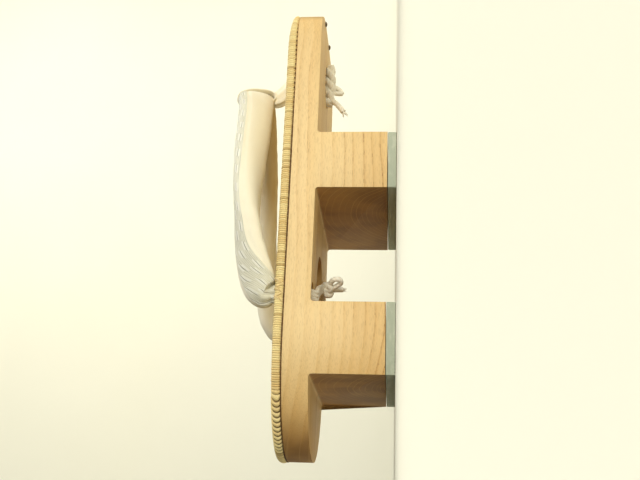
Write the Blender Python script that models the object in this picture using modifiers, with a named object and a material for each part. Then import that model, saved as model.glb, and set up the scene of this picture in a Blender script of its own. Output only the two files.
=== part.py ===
"""A wooden geta with two teeth, a woven mat on top and a padded thong, at its real size.

Metres, +Z up. +Y points to the toe and +X to the wearer's right. The origin is on the floor, under the
middle of the sandal. The wood is one carved block; rubber plates, mat, thong and ties are separate pieces.
"""

import math

import bmesh
import bpy
from mathutils import Vector

MM = 0.001

# Gap left between two pieces that touch
SEAT_GAP = 0.3 * MM

# Points closer than this are made one
WELD_DISTANCE = 0.01 * MM

# Plan of the wooden block
BLOCK_LENGTH = 239.2 * MM
BLOCK_WIDTH = 92.4 * MM
TOE_CURVE_LENGTH = 32.0 * MM
TOE_SQUARENESS = 3.1
HEEL_CURVE_LENGTH = 56.0 * MM
HEEL_SQUARENESS = 2.1

# Heights of the wooden block
BOARD_THICKNESS = 12.4 * MM
TOOTH_HEIGHT = 35.4 * MM
BLOCK_EDGE_EASING = 0.6 * MM
TOOTH_CORNER_RADIUS = 1.6 * MM

# Teeth, measured back from the toe end of the block
FRONT_TOOTH_SETBACK = 81.2 * MM
FRONT_TOOTH_LENGTH = 30.3 * MM
REAR_TOOTH_SETBACK = 170.0 * MM
REAR_TOOTH_LENGTH = 33.8 * MM

# Rubber under each tooth
RUBBER_THICKNESS = 4.4 * MM
RUBBER_EDGE_ROUNDING = 0.5 * MM

# Woven mat on the block
MAT_THICKNESS = 4.7 * MM
MAT_OVERHANG = 0.4 * MM
MAT_EDGE_ROLL = 2.1 * MM
MAT_TOE_THICKNESS = 1.9 * MM
MAT_TOE_TAPER_LENGTH = 34.0 * MM

# Holes for the thong, measured back from the toe end of the block and in from its side
FRONT_HOLE_SETBACK = 29.4 * MM
REAR_HOLE_SETBACK = 164.4 * MM
REAR_HOLE_EDGE_DISTANCE = 8.7 * MM
FRONT_HOLE_RADIUS = 4.6 * MM
REAR_HOLE_RADIUS = 4.6 * MM
HOLE_CLEARANCE = 0.35 * MM
MAT_HOLE_EASE = 0.5 * MM
FRONT_RECESS_RADIUS = 11.8 * MM
FRONT_RECESS_DEPTH = 3.6 * MM
REAR_RECESS_RADIUS = 6.2 * MM
REAR_RECESS_DEPTH = 1.5 * MM
KNOT_RECESS_SETBACK = 149.4 * MM
KNOT_RECESS_RADIUS = 16.5 * MM
KNOT_RECESS_DEPTH = 4.0 * MM

# Padded bands of the thong
BAND_WIDTH = 21.0 * MM
BAND_THICKNESS = 11.9 * MM
BAND_APEX_RISE = 22.2 * MM
BAND_APEX_SETBACK = 36.8 * MM
BAND_SQUARENESS = 2.3
BAND_ROOT_DEPTH = 9.0 * MM
BAND_NECK_SHARE = 0.16

# Toe thong, a soft cord that loops round the joined front of the bands
TOE_THONG_RADIUS = 1.7 * MM
TOE_THONG_NECK_RADIUS = 2.3 * MM
TOE_THONG_CLEARANCE = 0.8 * MM
TOE_THONG_DEPTH = 9.0 * MM

# Tying cords under the block
FRONT_CORD_RADIUS = 2.0 * MM
FRONT_BUNDLE_LENGTH = 22.0 * MM
FRONT_BUNDLE_RADIUS = 3.9 * MM
FRONT_BUNDLE_HANG = 1.4 * MM
FRONT_END_LENGTH = 10.0 * MM
REAR_CORD_RADIUS = 1.9 * MM
REAR_KNOT_RADIUS = 4.6 * MM
REAR_KNOT_ADVANCE = 12.0 * MM
REAR_KNOT_OFFSET = 7.0 * MM
REAR_END_LENGTH = 8.0 * MM
REAR_CORD_TURN = 5.0 * MM

# Iron tacks near the toe edge of the underside
TACK_HEAD_RADIUS = 1.5 * MM
TACK_HEAD_HEIGHT = 1.0 * MM
TACK_EDGE_DISTANCE = 2.4 * MM
TACK_ANGLES = (-28.0, 0.0, 28.0)

# Levels above the floor that follow from the sizes
TOOTH_BOTTOM = RUBBER_THICKNESS + SEAT_GAP
UNDERSIDE = TOOTH_BOTTOM + TOOTH_HEIGHT
BLOCK_TOP = UNDERSIDE + BOARD_THICKNESS
MAT_BOTTOM = BLOCK_TOP + SEAT_GAP
MAT_TOP = MAT_BOTTOM + MAT_THICKNESS

# Places along the length that follow from the sizes
TOE_END = BLOCK_LENGTH / 2
FRONT_HOLE_Y = TOE_END - FRONT_HOLE_SETBACK
REAR_HOLE_Y = TOE_END - REAR_HOLE_SETBACK
REAR_HOLE_OFFSET = BLOCK_WIDTH / 2 - REAR_HOLE_EDGE_DISTANCE
APEX_Y = TOE_END - BAND_APEX_SETBACK
APEX_Z = MAT_TOP + BAND_APEX_RISE

# One row for each place along a band, from the joined front to the end in the rear hole.
# run: share of the way back from the apex to the rear hole, out: share of the rear hole's offset,
# up: share of the apex's rise, wide and thick: shares of the band's size, roll: degrees that the
# outer edge is turned up, so that the lining faces outward at the front and the mat at the rear.
BAND_COLUMNS = ("run", "out", "up", "wide", "thick", "roll")
BAND_ROWS = (
    (0.000, 0.00, 1.000, 0.90, 0.60, 86.0),
    (0.010, 0.11, 0.995, 0.93, 0.64, 80.0),
    (0.050, 0.23, 0.955, 0.95, 0.78, 64.0),
    (0.140, 0.41, 0.900, 0.97, 0.95, 46.0),
    (0.257, 0.58, 0.865, 1.00, 1.00, 37.0),
    (0.370, 0.74, 0.850, 1.00, 1.00, 30.0),
    (0.490, 0.87, 0.825, 1.00, 1.00, 20.0),
    (0.610, 0.96, 0.800, 1.00, 1.04, 4.0),
    (0.720, 1.01, 0.738, 1.00, 1.06, -17.0),
    (0.820, 1.03, 0.635, 1.00, 1.03, -31.0),
    (0.905, 1.03, 0.510, 0.98, 1.03, -45.0),
    (0.965, 1.02, 0.390, 0.90, 1.00, -55.0),
    (1.000, 1.01, 0.270, 0.72, 0.92, -58.0),
    (1.000, 1.00, 0.120, 0.42, 0.72, -58.0),
)
BAND_STEPS_PER_ROW = 3

# Routes of the cords' short ends, from where they leave the knot. Each row is a place to the right,
# to the toe and up, as shares of the end's length.
FRONT_LONG_END = ((0.0, 0.4, 0.0), (0.15, 0.05, -0.4), (0.2, -0.35, -0.75), (0.2, -0.7, -0.95))
FRONT_SHORT_END = ((0.0, 1.1, 0.0), (-0.3, 0.9, -0.5), (-0.6, 0.6, -0.8))
REAR_LOOSE_END = ((0.0, 0.0, 0.0), (-0.5, 0.12, -0.56), (-0.75, 0.25, -1.0))
REAR_FOLDED_END = ((0.0, 0.0, 0.0), (0.38, 0.25, -0.62), (0.75, 0.38, -0.88))
BAND_RING_POINTS = 20

# Below this share of level in its direction, a band keeps the side that it had before
SIDE_LEVEL_SHARE = 0.35

TOE_STEPS = 18
SIDE_STEPS = 6
HEEL_STEPS = 22
ROUND_STEPS = 32


def empty_scene():
    """Removes every object that the scene holds."""
    for obj in list(bpy.data.objects):
        bpy.data.objects.remove(obj, do_unlink=True)


def new_collection(name):
    """A collection under the scene's own."""
    collection = bpy.data.collections.new(name)
    bpy.context.scene.collection.children.link(collection)
    return collection


def new_material(name, colour, roughness, metallic=0.0):
    """A Principled material in one colour."""
    material = bpy.data.materials.new(name)
    material.use_nodes = True
    shader = material.node_tree.nodes["Principled BSDF"]
    shader.inputs["Base Color"].default_value = (*colour, 1.0)
    shader.inputs["Roughness"].default_value = roughness
    shader.inputs["Metallic"].default_value = metallic
    return material


def mesh_object(name, points, faces, collection, material=None):
    """A mesh object from points and faces, with its faces pointing out."""
    mesh = bpy.data.meshes.new(name)
    mesh.from_pydata([tuple(point) for point in points], [], faces)
    shape = bmesh.new()
    shape.from_mesh(mesh)
    bmesh.ops.recalc_face_normals(shape, faces=shape.faces)
    shape.to_mesh(mesh)
    shape.free()
    obj = bpy.data.objects.new(name, mesh)
    collection.objects.link(obj)
    if material:
        mesh.materials.append(material)
    return obj


def shade_round(obj, degrees=35.0):
    """Smooth shading with sharp edges kept above the given angle."""
    obj.data.shade_smooth()
    obj.data.set_sharp_from_angle(angle=math.radians(degrees))


def helper(obj):
    """Marks an object as a cutter or guide that isn't part of the sandal."""
    obj.hide_render = True
    obj.display_type = "WIRE"
    return obj


def combine(obj, other, operation):
    """Adds and applies one Boolean to a mesh object, and removes the other object."""
    modifier = obj.modifiers.new(operation.title(), "BOOLEAN")
    modifier.object = other
    modifier.operation = operation
    graph = bpy.context.evaluated_depsgraph_get()
    made = bpy.data.meshes.new_from_object(obj.evaluated_get(graph))
    obj.modifiers.clear()
    obj.data = made
    bpy.data.objects.remove(other, do_unlink=True)
    return obj


def box(name, low, high, collection, material=None):
    """A box between two corners."""
    bpy.ops.mesh.primitive_cube_add(size=1.0)
    obj = bpy.context.object
    obj.name = name
    size = Vector(high) - Vector(low)
    centre = (Vector(high) + Vector(low)) / 2
    for vertex in obj.data.vertices:
        vertex.co = Vector(a * b for a, b in zip(vertex.co, size)) + centre
    move_to(obj, collection)
    if material:
        obj.data.materials.append(material)
    return obj


def upright_cylinder(name, x, y, low, high, radius, collection):
    """A vertical round cutter."""
    bpy.ops.mesh.primitive_cylinder_add(
        vertices=ROUND_STEPS, radius=radius, depth=high - low, location=(x, y, (low + high) / 2)
    )
    obj = bpy.context.object
    obj.name = name
    move_to(obj, collection)
    return helper(obj)


def move_to(obj, collection):
    """Links an object to one collection only."""
    for owner in list(obj.users_collection):
        owner.objects.unlink(obj)
    collection.objects.link(obj)


def tube(name, points, radius, collection, cyclic=False, sides=2, shares=None):
    """A round tube as a closed mesh, along points given as vectors. Shares scale its radius at each."""
    curve = bpy.data.curves.new(name, "CURVE")
    curve.dimensions = "3D"
    curve.bevel_depth = radius
    curve.bevel_resolution = sides
    curve.use_fill_caps = not cyclic
    spline = curve.splines.new("POLY")
    spline.points.add(len(points) - 1)
    for index, (target, point) in enumerate(zip(spline.points, points)):
        target.co = (*point, 1.0)
        target.radius = shares[index] if shares else 1.0
    spline.use_cyclic_u = cyclic
    guide = bpy.data.objects.new(name + "_guide", curve)
    return solid_from_curve(guide, name, collection)


def smooth_path(points, steps):
    """Points along a smooth curve through the given ones."""
    rows = [tuple(point) for point in points]
    return [Vector(row) for row in smooth_rows(rows, steps)]


def smooth_rows(rows, steps):
    """Rows of numbers between the given rows, read from a curve that passes through each of them."""
    ends = [rows[0]] + list(rows) + [rows[-1]]
    made = []
    for first, second, third, fourth in zip(ends, ends[1:], ends[2:], ends[3:]):
        for step in range(steps):
            t = step / steps
            made.append(
                tuple(
                    0.5 * (2 * b + (c - a) * t + (2 * a - 5 * b + 4 * c - d) * t * t)
                    + 0.5 * (3 * b - a - 3 * c + d) * t * t * t
                    for a, b, c, d in zip(first, second, third, fourth)
                )
            )
    made.append(tuple(rows[-1]))
    return made


def curve_of_end(half_width, length, squareness, steps):
    """Points of a quarter outline, from the tip at (0, length) to the side at (half_width, 0)."""
    power = 2 / squareness
    angles = [math.pi / 2 * step / steps for step in range(steps + 1)]
    return [
        (half_width * math.sin(angle) ** power, length * math.cos(angle) ** power)
        for angle in angles
    ]


def half_outline(grow=0.0):
    """Right half of the plan from the toe tip to the heel tip, grown outward by the given amount."""
    half_width = BLOCK_WIDTH / 2 + grow
    toe_start = TOE_END - TOE_CURVE_LENGTH
    heel_start = HEEL_CURVE_LENGTH - TOE_END
    toe = curve_of_end(half_width, TOE_CURVE_LENGTH + grow, TOE_SQUARENESS, TOE_STEPS)
    heel = curve_of_end(half_width, HEEL_CURVE_LENGTH + grow, HEEL_SQUARENESS, HEEL_STEPS)
    side = [toe_start + (heel_start - toe_start) * step / SIDE_STEPS for step in range(1, SIDE_STEPS)]
    points = [(x, toe_start + y) for x, y in toe]
    points += [(half_width, y) for y in side]
    points += [(x, heel_start - y) for x, y in reversed(heel)]
    return points


def full_outline(grow=0.0):
    """The whole plan as one closed row of points, grown outward by the given amount."""
    half = half_outline(grow)
    return half + [(-x, y) for x, y in reversed(half[1:-1])]


def slab(name, low, high, collection, material=None):
    """A flat slab with the sandal's plan between two heights."""
    curve = bpy.data.curves.new(name, "CURVE")
    curve.dimensions = "2D"
    curve.fill_mode = "BOTH"
    curve.extrude = (high - low) / 2
    outline = full_outline()
    spline = curve.splines.new("POLY")
    spline.points.add(len(outline) - 1)
    for target, (x, y) in zip(spline.points, outline):
        target.co = (x, y, 0.0, 1.0)
    spline.use_cyclic_u = True
    guide = bpy.data.objects.new(name + "_guide", curve)
    guide.location.z = (high + low) / 2
    obj = solid_from_curve(guide, name, collection)
    if material:
        obj.data.materials.append(material)
    return obj


def solid_from_curve(guide, name, collection):
    """Makes the curve object a welded mesh object of the given name, and removes the curve object."""
    collection.objects.link(guide)
    bpy.context.view_layer.update()
    graph = bpy.context.evaluated_depsgraph_get()
    mesh = bpy.data.meshes.new_from_object(guide.evaluated_get(graph))
    mesh.transform(guide.matrix_world)
    shape = bmesh.new()
    shape.from_mesh(mesh)
    bmesh.ops.remove_doubles(shape, verts=shape.verts, dist=WELD_DISTANCE)
    bmesh.ops.recalc_face_normals(shape, faces=shape.faces)
    shape.to_mesh(mesh)
    shape.free()
    obj = bpy.data.objects.new(name, mesh)
    collection.objects.link(obj)
    bpy.data.objects.remove(guide, do_unlink=True)
    return obj


def ease_edges(obj, width, segments=2):
    """Rounds every sharp edge of the object a little."""
    modifier = obj.modifiers.new("Eased edges", "BEVEL")
    modifier.width = width
    modifier.segments = segments
    modifier.limit_method = "ANGLE"
    modifier.angle_limit = math.radians(50)


def loft_outlines(name, layers, collection, material=None):
    """A solid through plan outlines. Each layer is (growth, height as a function of y), lowest first.

    The flat top and bottom are strips from side to side, so that they follow a height that changes.
    """
    ring = len(full_outline())
    count = ring // 2 + 1
    points = []
    for grow, height in layers:
        points += [(x, y, height(y)) for x, y in full_outline(grow)]
    faces = []
    for layer in range(len(layers) - 1):
        base = layer * ring
        for index in range(ring):
            after = (index + 1) % ring
            faces.append((base + index, base + after, base + ring + after, base + ring + index))
    for base in (0, (len(layers) - 1) * ring):
        for index in range(count - 1):
            corners = [index, index + 1, (ring - index - 1) % ring, (ring - index) % ring]
            faces.append(tuple(base + corner for corner in dict.fromkeys(corners)))
    return mesh_object(name, points, faces, collection, material)


def wooden_block(parts, cutters, wood):
    """Board and both teeth, carved from one block, with the holes that take the thong."""
    block = slab("wooden_block", TOOTH_BOTTOM, BLOCK_TOP, parts, wood)
    ease_edges(block, BLOCK_EDGE_EASING)
    front_tooth, rear_tooth = tooth_spans()
    past_end = BLOCK_LENGTH
    gaps = (
        ("toe_gap", front_tooth[1], past_end),
        ("middle_gap", rear_tooth[1], front_tooth[0]),
        ("heel_gap", -past_end, rear_tooth[0]),
    )
    for name, back, front in gaps:
        low = (-BLOCK_WIDTH, back, -BLOCK_WIDTH)
        high = (BLOCK_WIDTH, front, UNDERSIDE)
        cutter = helper(box(name, low, high, cutters))
        round_corners(cutter)
        combine(block, cutter, "DIFFERENCE")
    for x, y, radius, recess_radius, recess_depth in hole_places():
        through = upright_cylinder("hole", x, y, TOOTH_BOTTOM, BLOCK_TOP + radius, radius, cutters)
        combine(block, through, "DIFFERENCE")
        carve_recess(block, x, y, recess_radius, recess_depth, cutters)
    knot_y = TOE_END - KNOT_RECESS_SETBACK
    carve_recess(block, 0.0, knot_y, KNOT_RECESS_RADIUS, KNOT_RECESS_DEPTH, cutters)
    shade_round(block)
    return block


def round_corners(cutter):
    """Rounds the cutter's top edges across the sandal, which leaves a fillet at the foot of each tooth."""
    shape = bmesh.new()
    shape.from_mesh(cutter.data)
    top = max(vertex.co.z for vertex in shape.verts)
    edges = [
        edge
        for edge in shape.edges
        if all(abs(vertex.co.z - top) < 1e-6 for vertex in edge.verts)
        and abs(edge.verts[0].co.y - edge.verts[1].co.y) < 1e-6
    ]
    bmesh.ops.bevel(shape, geom=edges, offset=TOOTH_CORNER_RADIUS, segments=3, profile=0.5, affect="EDGES")
    shape.to_mesh(cutter.data)
    shape.free()


def carve_recess(block, x, y, radius, depth, cutters):
    """Cuts a round recess into the underside of the board, beside the teeth."""
    recess = upright_cylinder("recess", x, y, UNDERSIDE - depth, UNDERSIDE + depth, radius, cutters)
    keep_clear_of_teeth(recess, cutters)
    combine(block, recess, "DIFFERENCE")


def keep_clear_of_teeth(recess, cutters):
    """Trims a recess cutter so that it doesn't reach into the teeth."""
    for back, front in tooth_spans():
        low = (-BLOCK_WIDTH, back - SEAT_GAP, 0.0)
        high = (BLOCK_WIDTH, front + SEAT_GAP, BLOCK_TOP)
        guard = helper(box("guard", low, high, cutters))
        combine(recess, guard, "DIFFERENCE")


def tooth_spans():
    """(back, front) of the front tooth and of the rear tooth along the length."""
    front = TOE_END - FRONT_TOOTH_SETBACK
    rear = TOE_END - REAR_TOOTH_SETBACK
    return (front - FRONT_TOOTH_LENGTH, front), (rear - REAR_TOOTH_LENGTH, rear)


def hole_places():
    """x, y, radius, recess radius and recess depth of the three holes in the block."""
    rear = (REAR_HOLE_Y, REAR_HOLE_RADIUS, REAR_RECESS_RADIUS, REAR_RECESS_DEPTH)
    return (
        (0.0, FRONT_HOLE_Y, FRONT_HOLE_RADIUS, FRONT_RECESS_RADIUS, FRONT_RECESS_DEPTH),
        (REAR_HOLE_OFFSET, *rear),
        (-REAR_HOLE_OFFSET, *rear),
    )


def rubber_plates(parts, cutters, rubber):
    """A rubber plate under each tooth, with the tooth's own outline."""
    for name, (back, front) in zip(("front_rubber", "rear_rubber"), tooth_spans()):
        plate = slab(name, 0.0, RUBBER_THICKNESS, parts, rubber)
        low = (-BLOCK_WIDTH, back, -RUBBER_THICKNESS)
        high = (BLOCK_WIDTH, front, 2 * RUBBER_THICKNESS)
        span = helper(box("span", low, high, cutters))
        combine(plate, span, "INTERSECT")
        ease_edges(plate, RUBBER_EDGE_ROUNDING)
        shade_round(plate)


def mat_thickness(y):
    """Thickness of the mat, which thins towards the toe end."""
    start = TOE_END + MAT_OVERHANG - MAT_TOE_TAPER_LENGTH
    share = min(1.0, max(0.0, (y - start) / MAT_TOE_TAPER_LENGTH))
    return MAT_THICKNESS - (MAT_THICKNESS - MAT_TOE_THICKNESS) * share * share


def woven_mat(parts, cutters, straw):
    """The mat, with a rolled edge that stands a little outside the block."""
    layers = []
    for turn in range(-4, 5):
        angle = math.pi / 8 * turn
        inset = MAT_EDGE_ROLL * (1 - math.cos(angle))
        share = 0.5 + 0.5 * math.sin(angle)
        layers.append((MAT_OVERHANG - inset, mat_level(share)))
    mat = loft_outlines("woven_mat", layers, parts, straw)
    for x, y, radius, _, _ in hole_places():
        width = radius + MAT_HOLE_EASE
        hole = upright_cylinder("mat_hole", x, y, UNDERSIDE, MAT_TOP + radius, width, cutters)
        combine(mat, hole, "DIFFERENCE")
    shade_round(mat, 50.0)
    return mat


def mat_level(share):
    """Height of the mat at a share of its thickness."""
    return lambda y: MAT_BOTTOM + share * mat_thickness(y)


def band_stations():
    """Right band's stations from the apex to the end in the rear hole, as dictionaries."""
    rows = [dict(zip(BAND_COLUMNS, row)) for row in smooth_rows(BAND_ROWS, BAND_STEPS_PER_ROW)]
    stations = []
    for row in rows:
        y = APEX_Y + (REAR_HOLE_Y - APEX_Y) * row["run"]
        centre = Vector((REAR_HOLE_OFFSET * row["out"], y, MAT_TOP + BAND_APEX_RISE * row["up"]))
        stations.append(
            {
                "centre": centre,
                "half_width": BAND_WIDTH / 2 * row["wide"],
                "half_thickness": BAND_THICKNESS / 2 * row["thick"],
                "roll": math.radians(row["roll"]),
            }
        )
    last = stations[-1]
    root_radius = REAR_HOLE_RADIUS - HOLE_CLEARANCE
    for share in (BAND_NECK_SHARE, 1.0):
        stations.append(
            {
                "centre": last["centre"] - Vector((0.0, 0.0, BAND_ROOT_DEPTH * share)),
                "half_width": root_radius,
                "half_thickness": root_radius,
                "roll": last["roll"],
            }
        )
    return stations


def rounded_box_point(angle):
    """A point of the band's plump cross-section, from -1 to 1 across its width and its thickness."""
    power = 2 / BAND_SQUARENESS
    wide = math.copysign(abs(math.cos(angle)) ** power, math.cos(angle))
    thick = math.copysign(abs(math.sin(angle)) ** power, math.sin(angle))
    return wide, thick


def band_ring(station, tangent, side):
    """Points of the band's cross-section at a station."""
    up = tangent.cross(side).normalized()
    roll = station["roll"]
    across = side * math.cos(roll) + up * math.sin(roll)
    through = up * math.cos(roll) - side * math.sin(roll)
    round_end = abs(station["half_width"] - station["half_thickness"]) < 1e-6
    points = []
    for index in range(BAND_RING_POINTS):
        angle = 2 * math.pi * index / BAND_RING_POINTS
        wide, thick = math.cos(angle), math.sin(angle)
        if not round_end:
            wide, thick = rounded_box_point(angle)
        points.append(
            station["centre"]
            + across * station["half_width"] * wide
            + through * station["half_thickness"] * thick
        )
    return points


def thong_bands(parts, padding):
    """Both padded bands as one solid, from the left rear hole round the apex to the right rear hole."""
    right = band_stations()
    left = []
    for station in reversed(right[1:]):
        mirrored = dict(station)
        mirrored["centre"] = Vector((-station["centre"].x, station["centre"].y, station["centre"].z))
        left.append(mirrored)
    stations = left + right
    centres = [station["centre"] for station in stations]
    rings = []
    side = Vector((-1.0, 0.0, 0.0))
    for index, station in enumerate(stations):
        before = centres[max(0, index - 1)]
        after = centres[min(len(centres) - 1, index + 1)]
        tangent = (after - before).normalized()
        level_side = Vector((-tangent.y, tangent.x, 0.0))
        if level_side.length > SIDE_LEVEL_SHARE:
            level_side.normalize()
            side = -level_side if level_side.dot(side) < 0 else level_side
        rings.append(band_ring(station, tangent, side))
    count = BAND_RING_POINTS
    points = [point for ring in rings for point in ring]
    faces = [tuple(range(count)), tuple(range((len(rings) - 1) * count, len(rings) * count))]
    for level in range(len(rings) - 1):
        for index in range(count):
            after = (index + 1) % count
            base = level * count
            faces.append((base + index, base + after, base + count + after, base + count + index))
    bands = mesh_object("thong_bands", points, faces, parts, padding)
    shade_round(bands, 60.0)
    return bands


def toe_thong(parts, padding):
    """The loop round the joined front of the bands, and its neck down into the front hole."""
    front_row = dict(zip(BAND_COLUMNS, BAND_ROWS[0]))
    reach = TOE_THONG_CLEARANCE + TOE_THONG_RADIUS
    half_height = BAND_WIDTH / 2 * front_row["wide"] + reach
    half_length = BAND_THICKNESS / 2 * front_row["thick"] + reach
    loop_points = []
    steps = ROUND_STEPS
    for index in range(steps):
        angle = 2 * math.pi * index / steps
        high_share, long_share = rounded_box_point(angle)
        y = APEX_Y + half_length * long_share
        z = APEX_Z - half_height * high_share
        loop_points.append(Vector((0.0, y, z)))
    loop = tube("toe_thong", loop_points, TOE_THONG_RADIUS, parts, cyclic=True)
    loop_bottom = APEX_Z - half_height
    post_radius = FRONT_HOLE_RADIUS - HOLE_CLEARANCE
    neck = (
        Vector((0.0, APEX_Y, loop_bottom)),
        Vector((0.0, APEX_Y, loop_bottom - TOE_THONG_RADIUS)),
        Vector((0.0, FRONT_HOLE_Y, MAT_TOP + TOE_THONG_RADIUS)),
        Vector((0.0, FRONT_HOLE_Y, MAT_TOP)),
        Vector((0.0, FRONT_HOLE_Y, MAT_TOP - TOE_THONG_DEPTH)),
    )
    shares = [1.0, 1.0, 1.3, 1.5, post_radius / TOE_THONG_NECK_RADIUS]
    post = tube("toe_thong_post", neck, TOE_THONG_NECK_RADIUS, parts, sides=3, shares=shares)
    combine(loop, post, "UNION")
    loop.data.materials.clear()
    loop.data.materials.append(padding)
    shade_round(loop, 60.0)
    return loop


def add_cord_end(tie, name, start, route, length, radius, parts):
    """Joins a short end of cord to a knot, along a route given as shares of the end's length."""
    points = [start + length * Vector(share) for share in route]
    combine(tie, tube(name, smooth_path(points, 3), radius, parts), "UNION")


def front_tie(parts, cord):
    """The bundle of knotted cord in the front recess, with its stem in the hole and two short ends."""
    level = UNDERSIDE - FRONT_BUNDLE_HANG
    half = FRONT_BUNDLE_LENGTH / 2
    bundle_path = []
    bundle_shares = []
    steps = 10
    for index in range(steps + 1):
        share = 2 * index / steps - 1
        bundle_path.append(Vector((0.0, FRONT_HOLE_Y + half * share, level)))
        bundle_shares.append(0.45 + 0.55 * math.sqrt(max(0.0, 1 - share * share)))
    tie = tube("front_tie", bundle_path, FRONT_BUNDLE_RADIUS, parts, sides=3, shares=bundle_shares)
    stem_top = MAT_TOP - TOE_THONG_DEPTH - SEAT_GAP
    stem = (Vector((0.0, FRONT_HOLE_Y, level)), Vector((0.0, FRONT_HOLE_Y, stem_top)))
    combine(tie, tube("stem", stem, FRONT_CORD_RADIUS, parts), "UNION")
    start = Vector((0.0, FRONT_HOLE_Y - half, level))
    for name, route in (("long_end", FRONT_LONG_END), ("short_end", FRONT_SHORT_END)):
        add_cord_end(tie, name, start, route, FRONT_END_LENGTH, FRONT_CORD_RADIUS, parts)
    tie.data.materials.clear()
    tie.data.materials.append(cord)
    shade_round(tie, 60.0)
    return tie


def rear_tie(parts, cord):
    """The cord from one rear hole to the other, with its knot in front of the rear tooth."""
    level = UNDERSIDE - SEAT_GAP - REAR_CORD_RADIUS
    knot_y = REAR_HOLE_Y + REAR_KNOT_ADVANCE
    top = MAT_TOP - BAND_ROOT_DEPTH - SEAT_GAP
    side = (
        Vector((REAR_HOLE_OFFSET, REAR_HOLE_Y, top)),
        Vector((REAR_HOLE_OFFSET, REAR_HOLE_Y, UNDERSIDE + REAR_RECESS_DEPTH)),
        Vector((REAR_HOLE_OFFSET - REAR_CORD_TURN / 3, REAR_HOLE_Y, level + REAR_CORD_RADIUS)),
        Vector((REAR_HOLE_OFFSET - REAR_CORD_TURN, REAR_HOLE_Y, level)),
        Vector((REAR_HOLE_OFFSET / 2, (REAR_HOLE_Y + knot_y) / 2, level)),
        Vector((REAR_KNOT_OFFSET, knot_y, level)),
    )
    other = [Vector((-point.x, point.y, point.z)) for point in side[:-1]]
    tie = tube("rear_tie", smooth_path(list(side) + other[::-1], 3), REAR_CORD_RADIUS, parts)
    knot_level = UNDERSIDE - SEAT_GAP - REAR_KNOT_RADIUS
    bpy.ops.mesh.primitive_uv_sphere_add(
        segments=16, ring_count=10, radius=REAR_KNOT_RADIUS, location=(REAR_KNOT_OFFSET, knot_y, knot_level)
    )
    knot = bpy.context.object
    move_to(knot, parts)
    combine(tie, knot, "UNION")
    start = Vector((REAR_KNOT_OFFSET, knot_y, knot_level))
    for name, route in (("loose_end", REAR_LOOSE_END), ("folded_end", REAR_FOLDED_END)):
        add_cord_end(tie, name, start, route, REAR_END_LENGTH, REAR_CORD_RADIUS, parts)
    tie.data.materials.clear()
    tie.data.materials.append(cord)
    shade_round(tie, 60.0)
    return tie


def toe_tacks(parts, iron):
    """Small domed tack heads on the underside, just inside the toe edge."""
    toe_start = TOE_END - TOE_CURVE_LENGTH
    power = 2 / TOE_SQUARENESS
    for number, degrees in enumerate(TACK_ANGLES, start=1):
        angle = math.radians(degrees)
        wide = math.copysign(abs(math.sin(angle)) ** power, angle)
        x = (BLOCK_WIDTH / 2 - TACK_EDGE_DISTANCE) * wide
        y = toe_start + (TOE_CURVE_LENGTH - TACK_EDGE_DISTANCE) * math.cos(angle) ** power
        bpy.ops.mesh.primitive_cone_add(
            vertices=16,
            radius1=TACK_HEAD_RADIUS * 0.45,
            radius2=TACK_HEAD_RADIUS,
            depth=TACK_HEAD_HEIGHT,
            location=(x, y, UNDERSIDE - SEAT_GAP - TACK_HEAD_HEIGHT / 2),
        )
        tack = bpy.context.object
        tack.name = f"toe_tack_{number}"
        tack.data.materials.append(iron)
        move_to(tack, parts)


def main():
    """Builds the sandal."""
    empty_scene()
    parts = new_collection("geta_sandal")
    cutters = new_collection("cutters")
    wood = new_material("paulownia wood", (0.80, 0.60, 0.36), 0.62)
    rubber = new_material("grey green rubber", (0.47, 0.53, 0.46), 0.8)
    straw = new_material("bamboo sheath weave", (0.72, 0.54, 0.25), 0.55)
    brocade = new_material("white and silver brocade", (0.82, 0.81, 0.74), 0.5)
    cotton = new_material("white cotton", (0.86, 0.83, 0.72), 0.85)
    cord = new_material("cream hemp cord", (0.80, 0.74, 0.60), 0.9)
    iron = new_material("dark iron", (0.08, 0.08, 0.08), 0.5, 0.8)
    wooden_block(parts, cutters, wood)
    rubber_plates(parts, cutters, rubber)
    woven_mat(parts, cutters, straw)
    thong_bands(parts, brocade)
    toe_thong(parts, cotton)
    front_tie(parts, cord)
    rear_tie(parts, cord)
    toe_tacks(parts, iron)


main()
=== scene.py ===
"""Looks of the geta sandal: carved paulownia, woven mat, padded thong, twisted ties and ribbed rubber.

Metres, +Z up, +Y to the toe and +X to the wearer's right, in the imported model's own frame.
"""

import logging
import math
import random
from collections.abc import Callable, Iterator, Sequence
from contextlib import contextmanager
from dataclasses import dataclass
from enum import Enum

import bpy
import numpy as np
from mathutils import Matrix, Vector, noise


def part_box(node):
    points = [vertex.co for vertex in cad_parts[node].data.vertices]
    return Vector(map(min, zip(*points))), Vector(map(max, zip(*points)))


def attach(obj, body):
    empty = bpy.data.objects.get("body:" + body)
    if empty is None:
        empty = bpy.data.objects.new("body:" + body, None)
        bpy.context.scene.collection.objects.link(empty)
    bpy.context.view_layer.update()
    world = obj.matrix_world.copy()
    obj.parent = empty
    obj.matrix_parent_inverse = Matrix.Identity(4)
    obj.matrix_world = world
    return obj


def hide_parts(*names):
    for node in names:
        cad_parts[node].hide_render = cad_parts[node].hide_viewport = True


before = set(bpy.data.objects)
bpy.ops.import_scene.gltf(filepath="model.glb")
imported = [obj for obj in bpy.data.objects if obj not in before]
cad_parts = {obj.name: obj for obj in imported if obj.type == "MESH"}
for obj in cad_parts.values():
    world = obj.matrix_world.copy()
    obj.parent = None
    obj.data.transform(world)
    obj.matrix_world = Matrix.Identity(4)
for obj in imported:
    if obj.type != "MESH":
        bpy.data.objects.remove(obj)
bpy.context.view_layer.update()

MM = 0.001
BODY = "root"
CORD_STEP = 0.55 * MM
CORD_SIDES = 18
FIBRE_COUNT = 12
FIBRE_SIDES = 5
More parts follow.
